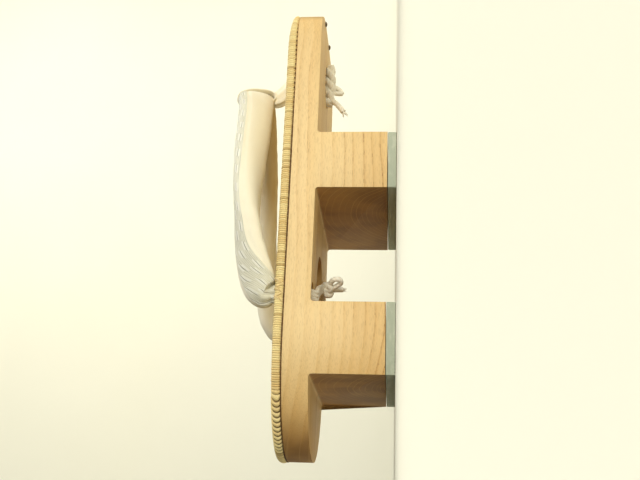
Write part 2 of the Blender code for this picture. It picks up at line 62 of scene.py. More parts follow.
FIBRE_RADIUS = 0.34 * MM

log = logging.getLogger("geta")

Colour = tuple[float, float, float, float]
Triple = tuple[float, float, float]

UP: Triple = (0.0, 0.0, 1.0)
RIGHTWARDS: Triple = (1.0, 0.0, 0.0)


def tint(red: int, green: int, blue: int) -> Colour:
    """A colour given as it shows on a screen, from 0 to 255, made linear for a shader.

    Args:
        red: Red, from 0 to 255.
        green: Green.
        blue: Blue.

    Returns:
        The linear colour.
    """
    shares = [channel / 255 for channel in (red, green, blue)]
    linear = [share / 12.92 if share < 0.04045 else ((share + 0.055) / 1.055) ** 2.4 for share in shares]
    return (linear[0], linear[1], linear[2], 1.0)


def with_other(operation: str, swapped: bool = False) -> Callable[["Num", "Num | float"], "Num"]:
    """A method of Num that works the number with another one, or the other one with it.

    Args:
        operation: The Math node's operation.
        swapped: Whether the other number comes first.

    Returns:
        The method.
    """

    def method(self: "Num", other: "Num | float") -> "Num":
        """The result, as a new number."""
        return self.worked(operation, other, self) if swapped else self.worked(operation, self, other)

    return method


def alone(operation: str) -> Callable[["Num"], "Num"]:
    """A method of Num that works the number alone.

    Args:
        operation: The Math node's operation.

    Returns:
        The method.
    """

    def method(self: "Num") -> "Num":
        """The result, as a new number."""
        return self.worked(operation, self)

    return method


class Num:
    """A number that varies over a surface. Sums with it add Math nodes to its material."""

    def __init__(self, recipe: "Recipe", socket: bpy.types.NodeSocket) -> None:
        """Keeps the material's recipe and the socket that gives the number."""
        self.recipe = recipe
        self.socket = socket

    def worked(self, operation: str, first: "Num | float", second: "Num | float" = 0.0) -> "Num":
        """Adds a Math node, and returns its result."""
        made = self.recipe.node("ShaderNodeMath", {"operation": operation}, {0: first, 1: second})
        return Num(self.recipe, made.outputs[0])

    __add__ = with_other("ADD")
    __radd__ = with_other("ADD", swapped=True)
    __sub__ = with_other("SUBTRACT")
    __rsub__ = with_other("SUBTRACT", swapped=True)
    __mul__ = with_other("MULTIPLY")
    __rmul__ = with_other("MULTIPLY", swapped=True)
    __truediv__ = with_other("DIVIDE")
    least = with_other("MINIMUM")
    most = with_other("MAXIMUM")
    fraction = alone("FRACT")
    whole = alone("FLOOR")
    root = alone("SQRT")
    size = alone("ABSOLUTE")
    wave = alone("SINE")


Value = Num | float
Link = Num | bpy.types.NodeSocket | float | Triple | Colour


class Recipe:
    """The nodes of one material, ending in its Principled shader."""

    def __init__(self, name: str) -> None:
        """Starts a material of the given name.

        Args:
            name: The material's name.
        """
        self.material = bpy.data.materials.new(name)
        self.material.use_nodes = True
        self.tree = self.material.node_tree
        self.shader = self.tree.nodes["Principled BSDF"]

    def node(self, kind: str, settings: dict[str, object], sockets: dict[int | str, Link]) -> bpy.types.Node:
        """Adds a node, sets it up, then gives its sockets their values or links.

        Args:
            kind: The node's type.
            settings: Its own settings.
            sockets: Values or links by the input's name or number.

        Returns:
            The new node.
        """
        made = self.tree.nodes.new(kind)
        for key, setting in settings.items():
            setattr(made, key, setting)
        for key, value in sockets.items():
            self.feed(made.inputs[key], value)
        return made

    def feed(self, target: bpy.types.NodeSocket, value: Link) -> None:
        """Links a socket to a varying value, or sets it to a constant.

        Args:
            target: The socket.
            value: What it gets.
        """
        if isinstance(value, Num):
            self.tree.links.new(value.socket, target)
        elif isinstance(value, bpy.types.NodeSocket):
            self.tree.links.new(value, target)
        else:
            target.default_value = value

    def object_place(self) -> bpy.types.NodeSocket:
        """Object coordinates in millimetres."""
        where = self.node("ShaderNodeTexCoord", {}, {}).outputs["Object"]
        return self.stretched(where, (1000.0, 1000.0, 1000.0))

    def cloth_place(self) -> tuple[Num, Num]:
        """The piece's own UV map, in millimetres along and across."""
        along, across, _ = self.parts_of(self.node("ShaderNodeTexCoord", {}, {}).outputs["UV"])
        return along, across

    def stretched(self, place: bpy.types.NodeSocket, factors: Triple) -> bpy.types.NodeSocket:
        """A place with each of its numbers times a factor."""
        made = self.node("ShaderNodeVectorMath", {"operation": "MULTIPLY"}, {0: place, 1: factors})
        return made.outputs[0]

    def parts_of(self, place: bpy.types.NodeSocket) -> tuple[Num, Num, Num]:
        """The three numbers of a place."""
        outputs = self.node("ShaderNodeSeparateXYZ", {}, {0: place}).outputs
        return Num(self, outputs[0]), Num(self, outputs[1]), Num(self, outputs[2])

    def place_from(self, first: Value, second: Value, third: Value = 0.0) -> bpy.types.NodeSocket:
        """A place made of three numbers."""
        return self.node("ShaderNodeCombineXYZ", {}, {0: first, 1: second, 2: third}).outputs[0]

    def cloud(self, place: bpy.types.NodeSocket, scale: float, detail: float = 2.0, roughness: float = 0.5) -> Num:
        """Smooth noise from 0 to 1.

        Args:
            place: Where it is read.
            scale: Lumps for each unit of the place.
            detail: Number of finer layers.
            roughness: Strength of the finer layers.

        Returns:
            The noise.
        """
        sockets = {"Vector": place, "Scale": scale, "Detail": detail, "Roughness": roughness}
        return Num(self, self.node("ShaderNodeTexNoise", {}, sockets).outputs[0])

    def chance(self, value: Value, other: Value = 0.0) -> Num:
        """A number from 0 to 1 that is the same wherever the given numbers are the same."""
        place = self.place_from(value, other)
        return Num(self, self.node("ShaderNodeTexWhiteNoise", {"noise_dimensions": "2D"}, {0: place}).outputs[0])

    def rise(self, value: Value, low: float, high: float) -> Num:
        """0 below the low value, 1 above the high one, and smooth between."""
        settings = {"interpolation_type": "SMOOTHSTEP"}
        return Num(self, self.node("ShaderNodeMapRange", settings, {0: value, 1: low, 2: high}).outputs[0])

    def band(self, value: Value, low: float, full: float, last: float, high: float) -> Num:
        """0 below the low value and above the high one, 1 between full and last, and smooth elsewhere."""
        return self.rise(value, low, full) * (1.0 - self.rise(value, last, high))

    def drawn_out(
        self, place: bpy.types.NodeSocket, factors: Triple, detail: float = 2.0, roughness: float = 0.5
    ) -> Num:
        """Smooth noise from 0 to 1 with its lumps for each unit set apart for each axis."""
        return self.cloud(self.stretched(place, factors), 1.0, detail, roughness)

    def mixed(self, share: Value, first: Link, second: Link) -> bpy.types.NodeSocket:
        """The first colour where the share is 0 and the second where it is 1."""
        return self.node("ShaderNodeMix", {"data_type": "RGBA"}, {0: share, 6: first, 7: second}).outputs[2]

    def shaded(self, colour: Link, share: Value) -> bpy.types.NodeSocket:
        """A colour times a grey of the given lightness.

        Args:
            colour: The colour.
            share: The lightness, 1 for no change.

        Returns:
            The shaded colour.
        """
        grey = self.node("ShaderNodeCombineColor", {}, {0: share, 1: share, 2: share}).outputs[0]
        settings = {"data_type": "RGBA", "blend_type": "MULTIPLY"}
        return self.node("ShaderNodeMix", settings, {0: 1.0, 6: colour, 7: grey}).outputs[2]

    def attribute(self, name: str) -> Num:
        """A number that the piece's mesh carries."""
        made = self.node("ShaderNodeAttribute", {"attribute_name": name}, {})
        return Num(self, made.outputs["Fac"])

    def relief(self, height: Num, depth: float, strength: float = 1.0) -> bpy.types.NodeSocket:
        """A normal bent by a height from 0 to 1 that stands for the given depth in metres."""
        sockets = {"Height": height, "Distance": depth, "Strength": strength}
        return self.node("ShaderNodeBump", {}, sockets).outputs["Normal"]

    def finished(self, **sockets: Link) -> bpy.types.Material:
        """Feeds the Principled shader, named by its sockets with _ for a space, and returns the material.

        Args:
            **sockets: Values or links by the shader's inputs.

        Returns:
            The material.
        """
        for name, value in sockets.items():
            self.feed(self.shader.inputs[name.replace("_", " ")], value)
        return self.material


@dataclass(frozen=True)
class PaulowniaWood:
    """Pale paulownia with its grain along the sandal, cut from a log whose heart is inside the block."""

    heart_x: float = 9.0
    heart_z: float = -25.0
    ring_rate: float = 15.0
    face: Colour = tint(237, 207, 150)
    face_deep: Colour = tint(214, 168, 96)
    face_late: Colour = tint(190, 136, 72)
    pore: Colour = tint(142, 88, 50)
    end: Colour = tint(172, 124, 60)
    end_arc: Colour = tint(216, 174, 104)
    end_deep: Colour = tint(148, 102, 46)

    def material(self) -> bpy.types.Material:
        """Makes the material, which reads the attribute end_grain from the piece.

        Returns:
            The material.
        """
        wood = Recipe("paulownia")
        place = wood.object_place()
        across, along, up = wood.parts_of(place)
        sway = wood.drawn_out(place, (0.020, 0.010, 0.020), 1.0) - 0.5
        ripple = wood.drawn_out(place, (0.16, 0.06, 0.16)) - 0.5
        off_x = across - self.heart_x + 7.0 * sway
        off_z = up - self.heart_z
        distance = (off_x * off_x + off_z * off_z).root() + 6.0 * sway + 1.1 * ripple
        uneven = wood.cloud(wood.place_from(distance * 0.13, 3.7), 1.0, 1.0)
        ring = self.ring_rate * distance.worked("LOGARITHM", distance, math.e) + 1.3 * uneven
        part = ring.fraction()
        own = wood.chance(ring.whole(), 2.5)
        late = wood.band(part, 0.35, 0.95, 0.96, 1.0)
        line = wood.band(part, 0.74, 0.92, 0.95, 1.0) * (0.35 + 0.65 * own)
        come_and_go = wood.drawn_out(place, (0.05, 0.016, 0.05), 1.0)
        line = line * wood.rise(come_and_go, 0.38, 0.60) * (1.0 - 0.55 * wood.rise(up, 38.0, 44.0))
        fibre = wood.drawn_out(place, (2.4, 0.07, 2.4), 2.0, 0.6)
        streak = wood.drawn_out(place, (0.45, 0.011, 0.45), 3.0, 0.6)
        broad = wood.drawn_out(place, (0.03, 0.008, 0.03))
        dash = wood.drawn_out(place, (2.5, 0.36, 2.5), 1.0)
        fleck = wood.drawn_out(place, (1.5, 0.5, 1.5))
        pores = wood.rise(dash, 0.54, 0.64) * (0.17 + 0.83 * line)
        end_grain = wood.rise(wood.attribute("end_grain"), 0.45, 0.95)

        # Painted shade: the wood turns deeper towards the heel, which curves away from the light, and a little
        # deeper towards the toe.
        painted_heel_shade_and_toe_tone = 0.25 * wood.rise(along, 30.0, 110.0) + 0.75 * wood.rise(0.0 - along, 66.0, 118.0)
        depth = (wood.rise(broad, 0.35, 0.7) * 0.34 + 0.18 * late + painted_heel_shade_and_toe_tone).least(1.0)
        face = wood.mixed(depth, self.face, self.face_deep)
        face = wood.mixed(0.50 * line, face, self.face_late)
        face = wood.mixed(pores * 0.80, face, self.pore)
        face = wood.shaded(face, 0.84 + 0.14 * streak + 0.10 * fibre + 0.08 * fleck)

        arc = wood.band(part, 0.78, 0.93, 0.95, 1.0) * (0.3 + 0.7 * own)
        speck = wood.drawn_out(place, (2.6, 0.8, 2.6), 1.0)
        patch = wood.drawn_out(place, (0.06, 0.02, 0.06))
        end = wood.mixed(wood.rise(patch, 0.35, 0.65), self.end, self.end_deep)
        end = wood.mixed(0.50 * arc, end, self.end_arc)
        end = wood.shaded(end, 0.80 + 0.30 * speck)
        colour = wood.mixed(end_grain * 0.92, face, end)
        height = 1.0 - 0.7 * pores - 0.18 * fibre - 0.12 * line
        return wood.finished(
            Base_Color=colour,
            Roughness=0.50 + 0.14 * fibre + 0.12 * pores + 0.1 * end_grain,
            Normal=wood.relief(height, 0.12 * MM, 0.55),
        )


@dataclass(frozen=True)
class WrappedStraw:
    """Split bamboo sheath in narrow strips. The UV map gives a strip's number across, and millimetres along it."""

    pale: Colour = tint(253, 234, 170)
    deep: Colour = tint(226, 184, 110)
    gap: Colour = tint(92, 58, 22)
    odd: Colour = tint(178, 142, 78)

    def material(self, name: str, gap_width: float) -> bpy.types.Material:
        """Makes the material.

        Args:
            name: Name of the material.
            gap_width: Share of a strip's width that is the dark gap beside it.

        Returns:
            The material.
        """
        straw = Recipe(name)
        number, along = straw.cloth_place()
        strip = number.whole()
        part = number.fraction()
        edge = (2.0 * part - 1.0).size()
        own = straw.chance(strip, 0.5)
        second = straw.chance(strip, 7.5)
        group = straw.cloud(straw.place_from(strip * 0.11, 0.5, 9.0), 1.0, 2.0)
        run = straw.place_from(number * 7.0, along * 0.35, strip)
        fibre = straw.cloud(run, 1.0, 2.0, 0.6)
        blotch = straw.cloud(straw.place_from(number * 0.6, along * 0.16, 2.0), 1.0, 2.0)
        share = 0.42 * own + 0.8 * (blotch - 0.42) + 1.3 * (group - 0.42)
        colour = straw.mixed(share.most(0.0).least(1.0), self.pale, self.deep)
        colour = straw.mixed(straw.rise(second, 0.9, 0.97) * 0.6, colour, self.odd)
        colour = straw.shaded(colour, 0.78 + 0.34 * fibre)
        # Painted shade in the grooves between the strips; in the heel's coarse winding the grooves are wider and
        # painted nearly black.
        wound = straw.attribute("wound")
        wide = gap_width + 0.16 * wound
        gap = ((edge - 1.0 + wide) / (0.75 * wide)).most(0.0).least(1.0)
        colour = straw.mixed(gap * (0.25 + 0.40 * own) * (1.0 - wound) + 0.92 * gap * wound, colour, self.gap)
        height = (1.0 - edge * edge) * 0.7 + 0.3 * fibre
        return straw.finished(
            Base_Color=colour,
            Roughness=0.42 + 0.22 * fibre + 0.2 * gap,
            Normal=straw.relief(height, 0.14 * MM, 0.6),
        )


@dataclass(frozen=True)
class SeamThread:
    """Dark waxed thread."""

    dark: Colour = tint(70, 42, 16)
    worn: Colour = tint(118, 80, 38)

    def material(self) -> bpy.types.Material:
        """Makes the material, which reads the thread's UV map.

        Returns:
            The material.
        """
        thread = Recipe("dark waxed thread")
        along, turns = thread.cloth_place()
        fibre = thread.cloud(thread.place_from(along * 1.4, turns * 3.0), 1.0, 3.0, 0.6)
        return thread.finished(
            Base_Color=thread.mixed(fibre, self.dark, self.worn),
            Roughness=0.6 + 0.25 * fibre,
            Normal=thread.relief(fibre, 0.1 * MM, 0.6),
        )


@dataclass(frozen=True)
class SilverBrocade:
    """White and silver brocade: fine lengthwise cords with pairs of raised satin bars, each row staggered."""

    row_width: float = 3.7
    bar_spacing: float = 10.4
    rib_spacing: float = 0.925
    thread_spacing: float = 0.42
    ground: Colour = tint(237, 234, 213)
    shade: Colour = tint(128, 123, 102)
    bar: Colour = tint(251, 249, 236)

    def material(self) -> bpy.types.Material:
        """Makes the material, which reads the band's UV map in millimetres.

        Returns:
            The material.
        """
        cloth = Recipe("white and silver brocade")
        along, across = cloth.cloth_place()
        wobble = cloth.cloud(cloth.place_from(along * 0.05, across * 0.12), 1.0, 1.0) - 0.5
        lines = across + 1.3 * wobble
        row = (lines / self.row_width).whole()
        in_row = (lines / self.row_width).fraction()
        second_bar = cloth.rise(in_row, 0.47, 0.50)
        stagger = (row * 0.5).fraction() + 0.42 * cloth.chance(row, 1.5) + 0.11 * second_bar
        in_bar = (along / self.bar_spacing + stagger).fraction()
        ends = cloth.band(in_bar, 0.05, 0.11, 0.50, 0.57)
        first = cloth.band(in_row, 0.17, 0.22, 0.40, 0.44)
        other = cloth.band(in_row, 0.55, 0.59, 0.77, 0.82)
        bars = ends * (first + other)
        rib = (2.0 * (lines / self.rib_spacing).fraction() - 1.0).size()
        rib_number = (lines / self.rib_spacing).whole()
        drawn = cloth.cloud(cloth.place_from(along * 0.11, rib_number * 3.3, 7.0), 1.0, 1.0)
        rib_line = cloth.rise(rib, 0.66, 0.92) * (0.22 + 0.78 * cloth.rise(drawn, 0.40, 0.60))
        turn = 2.0 * math.pi / self.thread_spacing
        threads = 0.5 + 0.5 * (along * turn).wave() * (lines * turn).wave()
        satin = 0.5 + 0.5 * (lines * (2.0 * turn)).wave()
        fade = cloth.cloud(cloth.place_from(along * 0.05, across * 0.05, 4.0), 1.0, 2.0)
        ground = cloth.mixed(0.70 * rib_line, self.ground, self.shade)
        ground = cloth.shaded(ground, 0.80 + 0.10 * threads + 0.20 * fade)
        bright = cloth.shaded(self.bar, 0.92 + 0.08 * satin)
        rim = cloth.band(in_row, 0.42, 0.46, 0.52, 0.56) * ends
        colour = cloth.mixed(0.8 * rim, cloth.mixed(0.92 * bars, ground, bright), self.shade)
        height = 0.30 * threads * (1.0 - bars) + 0.34 * (1.0 - rib) * (1.0 - bars) + bars * (0.80 + 0.20 * satin)
        return cloth.finished(
            Base_Color=colour,
            Roughness=0.60 - 0.26 * bars - 0.06 * fade,
            Normal=cloth.relief(height, 0.22 * MM, 0.7),
            Sheen_Weight=0.2,
            Sheen_Roughness=0.4,
        )


@dataclass(frozen=True)
class CreamCotton:
    """Plain woven cream cotton, a little soft and fluffy, with painted shade where the piece's attribute rubbed
    gives it.
    """

    light: Colour = tint(255, 250, 230)
    dull: Colour = tint(247, 237, 209)
    # Painted shade: the darker tan of the lining where it turns under the band, out of the light.
    rubbed: Colour = tint(206, 176, 122)
    thread_spacing: float = 0.36

    def material(self, name: str) -> bpy.types.Material:
        """Makes the material, which reads the piece's UV map in millimetres and its attribute rubbed of painted
        shade.

        Args:
            name: Name of the material.

        Returns:
            The material.
        """
        cloth = Recipe(name)
        along, across = cloth.cloth_place()
        turn = 2.0 * math.pi / self.thread_spacing
        threads = 0.5 + 0.5 * (along * turn).wave() * (across * turn).wave()
        nap = cloth.cloud(cloth.place_from(along * 1.6, across * 1.6), 1.0, 3.0, 0.65)
        creases = cloth.cloud(cloth.place_from(along * 0.09, across * 0.3, 8.0), 1.0, 2.0)
        colour = cloth.mixed(0.55 * nap + 0.35 * creases, self.light, self.dull)
        # Painted shade, mixed in where the attribute rubbed is set.
        colour = cloth.mixed(cloth.attribute("rubbed") * (0.62 + 0.3 * creases), colour, self.rubbed)
        colour = cloth.shaded(colour, 0.94 + 0.06 * threads)
        return cloth.finished(
            Base_Color=colour,
            Roughness=0.80 + 0.12 * nap,
            Normal=cloth.relief(0.4 * threads + 0.6 * nap, 0.12 * MM, 0.5),
            Sheen_Weight=0.35,
            Sheen_Roughness=0.5,
        )


@dataclass(frozen=True)
class HempCord:
    """Soft twisted cord. The UV map gives millimetres along it and turns round it."""

    light: Colour = tint(255, 252, 238)
    # Colour of the painted shade in the grooves between the plies.
    groove: Colour = tint(242, 230, 200)
    plies: int = 3
    lay: float = 6.0

    def material(self) -> bpy.types.Material:
        """Makes the material, with fibres that follow the twist and painted shade in the grooves between the
        plies.

        Returns:
            The material.
        """
        cord = Recipe("cream twisted cord")
        along, turns = cord.cloth_place()
        ply = (self.plies * (turns - along / self.lay)).fraction()
        edge = (2.0 * ply - 1.0).size()
        strand = cord.place_from(ply * 5.0 + along * 0.9, along * 0.22 - ply * 1.2)
        fibre = cord.cloud(strand, 1.6, 3.0, 0.7)
        # Painted shade: darker where the plies meet.
        groove = cord.rise(edge, 0.62, 1.0)
        colour = cord.mixed(0.5 * groove, self.light, self.groove)
        colour = cord.shaded(colour, 0.92 + 0.16 * fibre)
        return cord.finished(
            Base_Color=colour,
            Roughness=0.84 + 0.1 * fibre,
            Normal=cord.relief(0.7 * fibre + 0.3 * (1.0 - groove), 0.2 * MM, 0.7),
            Sheen_Weight=0.3,
            Sheen_Roughness=0.5,
        )


@dataclass(frozen=True)
class MouldedRubber:
    """Matt grey-green sole rubber with a fine moulding grain and pale scuffs."""

    body: Colour = tint(176, 184, 164)
    dusty: Colour = tint(204, 208, 190)
    dark: Colour = tint(140, 150, 130)

    def material(self) -> bpy.types.Material:
        """Makes the material.

        Returns:
            The material.
        """
        rubber = Recipe("grey green rubber")
        place = rubber.object_place()
        _, _, up = rubber.parts_of(place)
        grain = rubber.cloud(place, 3.2, 2.0, 0.6)
        smear = rubber.drawn_out(place, (0.09, 0.16, 0.4), 3.0, 0.6)
        low = 1.0 - rubber.rise(up, 0.2, 1.6)
        colour = rubber.mixed(rubber.rise(smear, 0.45, 0.75) * 0.6 + 0.25 * low, self.body, self.dusty)
        colour = rubber.mixed(rubber.rise(grain, 0.6, 0.8) * 0.35, colour, self.dark)
        return rubber.finished(
            Base_Color=colour,
            Roughness=0.66 + 0.2 * smear,
            Normal=rubber.relief(grain, 0.06 * MM, 0.5),
        )


@dataclass(frozen=True)
class DarkIron:
    """Blackened iron with a little rust and rubbed bright spots."""

    black: Colour = tint(108, 94, 78)
    rust: Colour = tint(142, 104, 70)

    def material(self) -> bpy.types.Material:
        """Makes the material.

        Returns:
            The material.
        """
        iron = Recipe("dark iron")
        place = iron.object_place()
        spots = iron.cloud(place, 1.4, 3.0, 0.6)
        rubbed = iron.rise(iron.cloud(place, 0.8, 1.0), 0.5, 0.7)
        rusty = iron.rise(spots, 0.5, 0.72)
        return iron.finished(
            Base_Color=iron.mixed(rusty, self.black, self.rust),
            Roughness=0.62 - 0.25 * rubbed,
            Metallic=0.85 - 0.6 * rusty,
            Normal=iron.relief(spots, 0.08 * MM, 0.6),
        )


@dataclass(frozen=True)
class StagePaper:
    """Plain pale paper for the floor and the backdrop."""

    colour: Colour = tint(250, 248, 234)
    deep: Colour = tint(246, 244, 228)

    def material(self) -> bpy.types.Material:
        """Makes the material.

        Returns:
            The material.
        """
        paper = Recipe("pale paper")
        place = paper.object_place()
        fleck = paper.cloud(place, 0.004, 2.0)
        return paper.finished(
            Base_Color=paper.mixed(fleck, self.colour, self.deep),
            Roughness=0.9 + 0.05 * fleck,
            Specular_IOR_Level=0.0,
        )


class Side(Enum):
    """The two sides of the sandal, as the sign of x."""

    LEFT = -1
    RIGHT = 1


class Tooth(Enum):
    """The two teeth, by the CAD node of the rubber under each."""

    FRONT = "front_rubber"
    REAR = "rear_rubber"


def pick_only(piece: bpy.types.Object) -> None:
    """Makes one object the only selected one, and the active one.

    Args:
        piece: The object.
    """
    bpy.ops.object.select_all(action="DESELECT")
    piece.select_set(True)
    bpy.context.view_layer.objects.active = piece


def name_it(piece: bpy.types.Object, name: str) -> bpy.types.Object:
    """Gives an object and its mesh a name.

    Args:
        piece: The object.
        name: Its new name.

    Returns:
        The object.
    """
    piece.name = name
    piece.data.name = name
    return piece


def settle(piece: bpy.types.Object) -> None:
    """Moves an object's place, turn and scale into its mesh."""
    pick_only(piece)
    bpy.ops.object.transform_apply(location=True, rotation=True, scale=True)


@contextmanager
def editing(piece: bpy.types.Object) -> Iterator[None]:
    """Edit mode on one object, with all of its mesh picked.

    Args:
        piece: The object.

    Yields:
        Nothing, while edit mode is on.
    """
    pick_only(piece)
    bpy.ops.object.mode_set(mode="EDIT")
    bpy.ops.mesh.select_all(action="SELECT")
    yield
    bpy.ops.object.mode_set(mode="OBJECT")


def cover(piece: bpy.types.Object, finish: bpy.types.Material) -> None:
    """Gives a piece one material all over, and no other."""
    piece.data.materials.clear()
    piece.data.materials.append(finish)


def store(piece: bpy.types.Object, name: str, domain: str, values: np.ndarray) -> None:
    """Keeps a number for each point or corner of a mesh, for its material to read."""
    kept = piece.data.attributes.new(name, "FLOAT", domain)
    kept.data.foreach_set("value", values.reshape(-1).astype(np.float32))


def copy_of_node(node: str, name: str) -> bpy.types.Object:
    """Copies a CAD node's mesh and merges its loose triangles.

    Args:
        node: The CAD node.
        name: Name of the copy.

    Returns:
        The copy, with flat regions dissolved into single faces.
    """
    pick_only(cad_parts[node])
    bpy.ops.object.duplicate()
    made = bpy.context.object
    world = made.matrix_world.copy()
    made.parent = None
    made.matrix_world = world
    for key in list(made.keys()):
        if key.startswith("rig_"):
            del made[key]
    name_it(made, name)
    made.data.materials.clear()
    with editing(made):
        bpy.ops.mesh.remove_doubles(threshold=0.01 * MM)
        bpy.ops.mesh.dissolve_limited(angle_limit=math.radians(0.6))
    return made


def apply_modifier(piece: bpy.types.Object, kind: str, **settings: object) -> None:
    """Adds a modifier with the given settings and applies it.

    Args:
        piece: The object.
        kind: The modifier's type.
        **settings: The modifier's own settings.
    """
    pick_only(piece)
    made = piece.modifiers.new(kind.title(), kind)
    for key, setting in settings.items():
        setattr(made, key, setting)
    bpy.ops.object.modifier_apply(modifier=made.name)


def round_shading(piece: bpy.types.Object, degrees: float) -> None:
    """Smooth shading, with edges sharper than the angle kept sharp."""
    pick_only(piece)
    bpy.ops.object.shade_smooth_by_angle(angle=math.radians(degrees))


def face_outwards(piece: bpy.types.Object) -> None:
    """Turns every face of a closed piece outwards."""
    with editing(piece):
        bpy.ops.mesh.normals_make_consistent(inside=False)


def join_pieces(pieces: Sequence[bpy.types.Object], name: str) -> bpy.types.Object:
    """Joins objects into the first and names it.

    Args:
        pieces: The objects.
        name: Name of what they make.

    Returns:
        The joined object.
    """
    pick_only(pieces[0])
    for piece in pieces[1:]:
        piece.select_set(True)
    if len(pieces) > 1:
        bpy.ops.object.join()
    return name_it(bpy.context.object, name)


def fit_piece(piece: bpy.types.Object, slot: str, *nodes: str) -> None:
    """Fixes a finished piece to the sandal in place of its CAD nodes, and reports it.

    Args:
        piece: The piece.
        slot: Its colour slot.
        *nodes: The CAD nodes that it stands for.
    """
    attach(piece, BODY)
    if nodes:
        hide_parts(*nodes)
    log.info("%s: %d faces, slot %s", piece.name, len(piece.data.polygons), slot)


def smooth_rows(rows: Sequence[Sequence[float]], steps: int) -> np.ndarray:
    """Rows between the given rows, on a curve through each of them.

    Args:
        rows: The given rows of numbers.
        steps: Steps from one given row to the next.

    Returns:
        One row a step, with the last given row at the end.
    """
    given = np.array(rows, dtype=float)
    ends = np.vstack([given[:1], given, given[-1:]])
    made = []
    for index in range(len(given) - 1):
        a, b, c, d = ends[index : index + 4]
        for step in range(steps):
            t = step / steps
            bend = (2 * a - 5 * b + 4 * c - d) * t * t + (3 * b - a - 3 * c + d) * t**3
            made.append(0.5 * (2 * b + (c - a) * t + bend))
    made.append(given[-1])
    return np.array(made)


def lengths_along(path: np.ndarray) -> np.ndarray:
    """Distance from the start of a path to each of its points."""
    return np.concatenate([[0.0], np.cumsum(np.linalg.norm(np.diff(path, axis=0), axis=1))])


def places_at(distances: np.ndarray, reach: np.ndarray, path: np.ndarray) -> np.ndarray:
    """Places on a path at distances from its start, where reach gives its own points' distances."""
    return np.stack([np.interp(distances, reach, numbers) for numbers in path.T], axis=1)


def evenly(path: np.ndarray, spacing: float) -> np.ndarray:
    """Points at an even spacing on a path.

    Args:
        path: The path's points.
        spacing: About how far apart the new ones lie.

    Returns:
        The new points.
    """
    reach = lengths_along(path)
    count = max(4, int(round(reach[-1] / spacing)) + 1)
    return places_at(np.linspace(0.0, reach[-1], count), reach, path)


def marks_of(along: np.ndarray, across: np.ndarray) -> np.ndarray:
    """The UV of each station and place round it, from one number for each station and one for each place."""
    return np.stack(np.broadcast_arrays(along[:, None], across), axis=2)


def rings_round(
    path: np.ndarray, side: np.ndarray, third: np.ndarray, aside: np.ndarray, lift: np.ndarray
) -> np.ndarray:
    """Rings of points round a path.

    Args:
        path: The path's points.
        side: Unit vectors to its side, or one for all of it.
        third: Unit vectors the third way, or one for all of it.
        aside: How far each point of each ring lies to the side.
        lift: How far it lies the third way.

    Returns:
        The points, as station, place round the ring, and x, y, z.
    """
    side, third = np.broadcast_to(side, path.shape), np.broadcast_to(third, path.shape)
    return path[:, None] + aside[..., None] * side[:, None] + lift[..., None] * third[:, None]


def skin(
    name: str, rings: np.ndarray, marks: np.ndarray, looped: bool, finishes: Sequence[int] | None = None
) -> bpy.types.Object:
    """Makes a tube-like mesh through rings of points, closed round each ring.

    Args:
        name: Name of the piece.
        rings: Points, as station, place round the ring, and x, y, z.
        marks: UV of each point, with one more for each ring where it closes.
        looped: Whether the last ring joins the first. If not, both ends get a cap.
        finishes: Material number of each face round the ring, if there is more than one.

    Returns:
        The mesh object, facing outwards.
    """
    stations, count, _ = rings.shape
    finishes = finishes or [0] * count
    faces, corners, numbers = [], [], []
    for station in range(stations if looped else stations - 1):
        here, there = station * count, (station + 1) % stations * count
        for index, finish in enumerate(finishes):
            after = (index + 1) % count
            faces.append((here + index, here + after, there + after, there + index))
            corners += [*marks[station, index : index + 2], *marks[station + 1, index : index + 2][::-1]]
            numbers.append(finish)
    if not looped:
        for station in (0, stations - 1):
            faces.append(tuple(range(station * count, (station + 1) * count)))
            corners += list(marks[station, :count])
            numbers.append(finishes[0])
    mesh = bpy.data.meshes.new(name)
    mesh.from_pydata([tuple(point) for point in rings.reshape(-1, 3)], [], faces)
    layer = mesh.uv_layers.new(name="cloth")
    layer.data.foreach_set("uv", np.array(corners, dtype=np.float32).reshape(-1))
    mesh.polygons.foreach_set("material_index", numbers)
    made = bpy.data.objects.new(name, mesh)
    bpy.context.scene.collection.objects.link(made)
    face_outwards(made)
    made.data.shade_smooth()
    return made


def level_frames(path: np.ndarray, start: Triple) -> tuple[np.ndarray, np.ndarray]:
    """Directions across a path, turned as little as possible from point to point.

    Args:
        path: The path's points.
        start: About where the side points at the first point.

    Returns:
        Unit vectors to its side, and the third way.
    """
    ahead = np.gradient(path, axis=0)
    ahead /= np.linalg.norm(ahead, axis=1)[:, None]
    side = np.array(start)
    sides = []
    for direction in ahead:
        side = side - direction * side.dot(direction)
        side /= np.linalg.norm(side)
        sides.append(side)
    return np.array(sides), np.cross(ahead, sides)


def twisted_cord(name: str, path: np.ndarray, radius: float, finish: HempCord) -> bpy.types.Object:
    """A cord of twisted plies along a path.

    Args:
        name: Name of the piece.
        path: Points that it follows.
        radius: Radius over the plies.
        finish: The cord's finish, which has its plies and lay.

    Returns:
        The cord as a mesh, with its UV map in millimetres along and turns round.
    """
    points = evenly(path, CORD_STEP)
    reach = lengths_along(points) / MM
    side, third = level_frames(points, (0.31, 0.22, 0.93))
    turns = np.arange(CORD_SIDES + 1) / CORD_SIDES
    ply = finish.plies * (turns[:-1] - reach[:, None] / finish.lay) % 1.0
    out = radius * (0.78 + 0.22 * np.sin(np.pi * ply) ** 0.6)
    angles = 2 * np.pi * turns[:-1]
    rings = rings_round(points, side, third, out * np.cos(angles), out * np.sin(angles))
    return skin(name, rings, marks_of(reach, turns), looped=False)


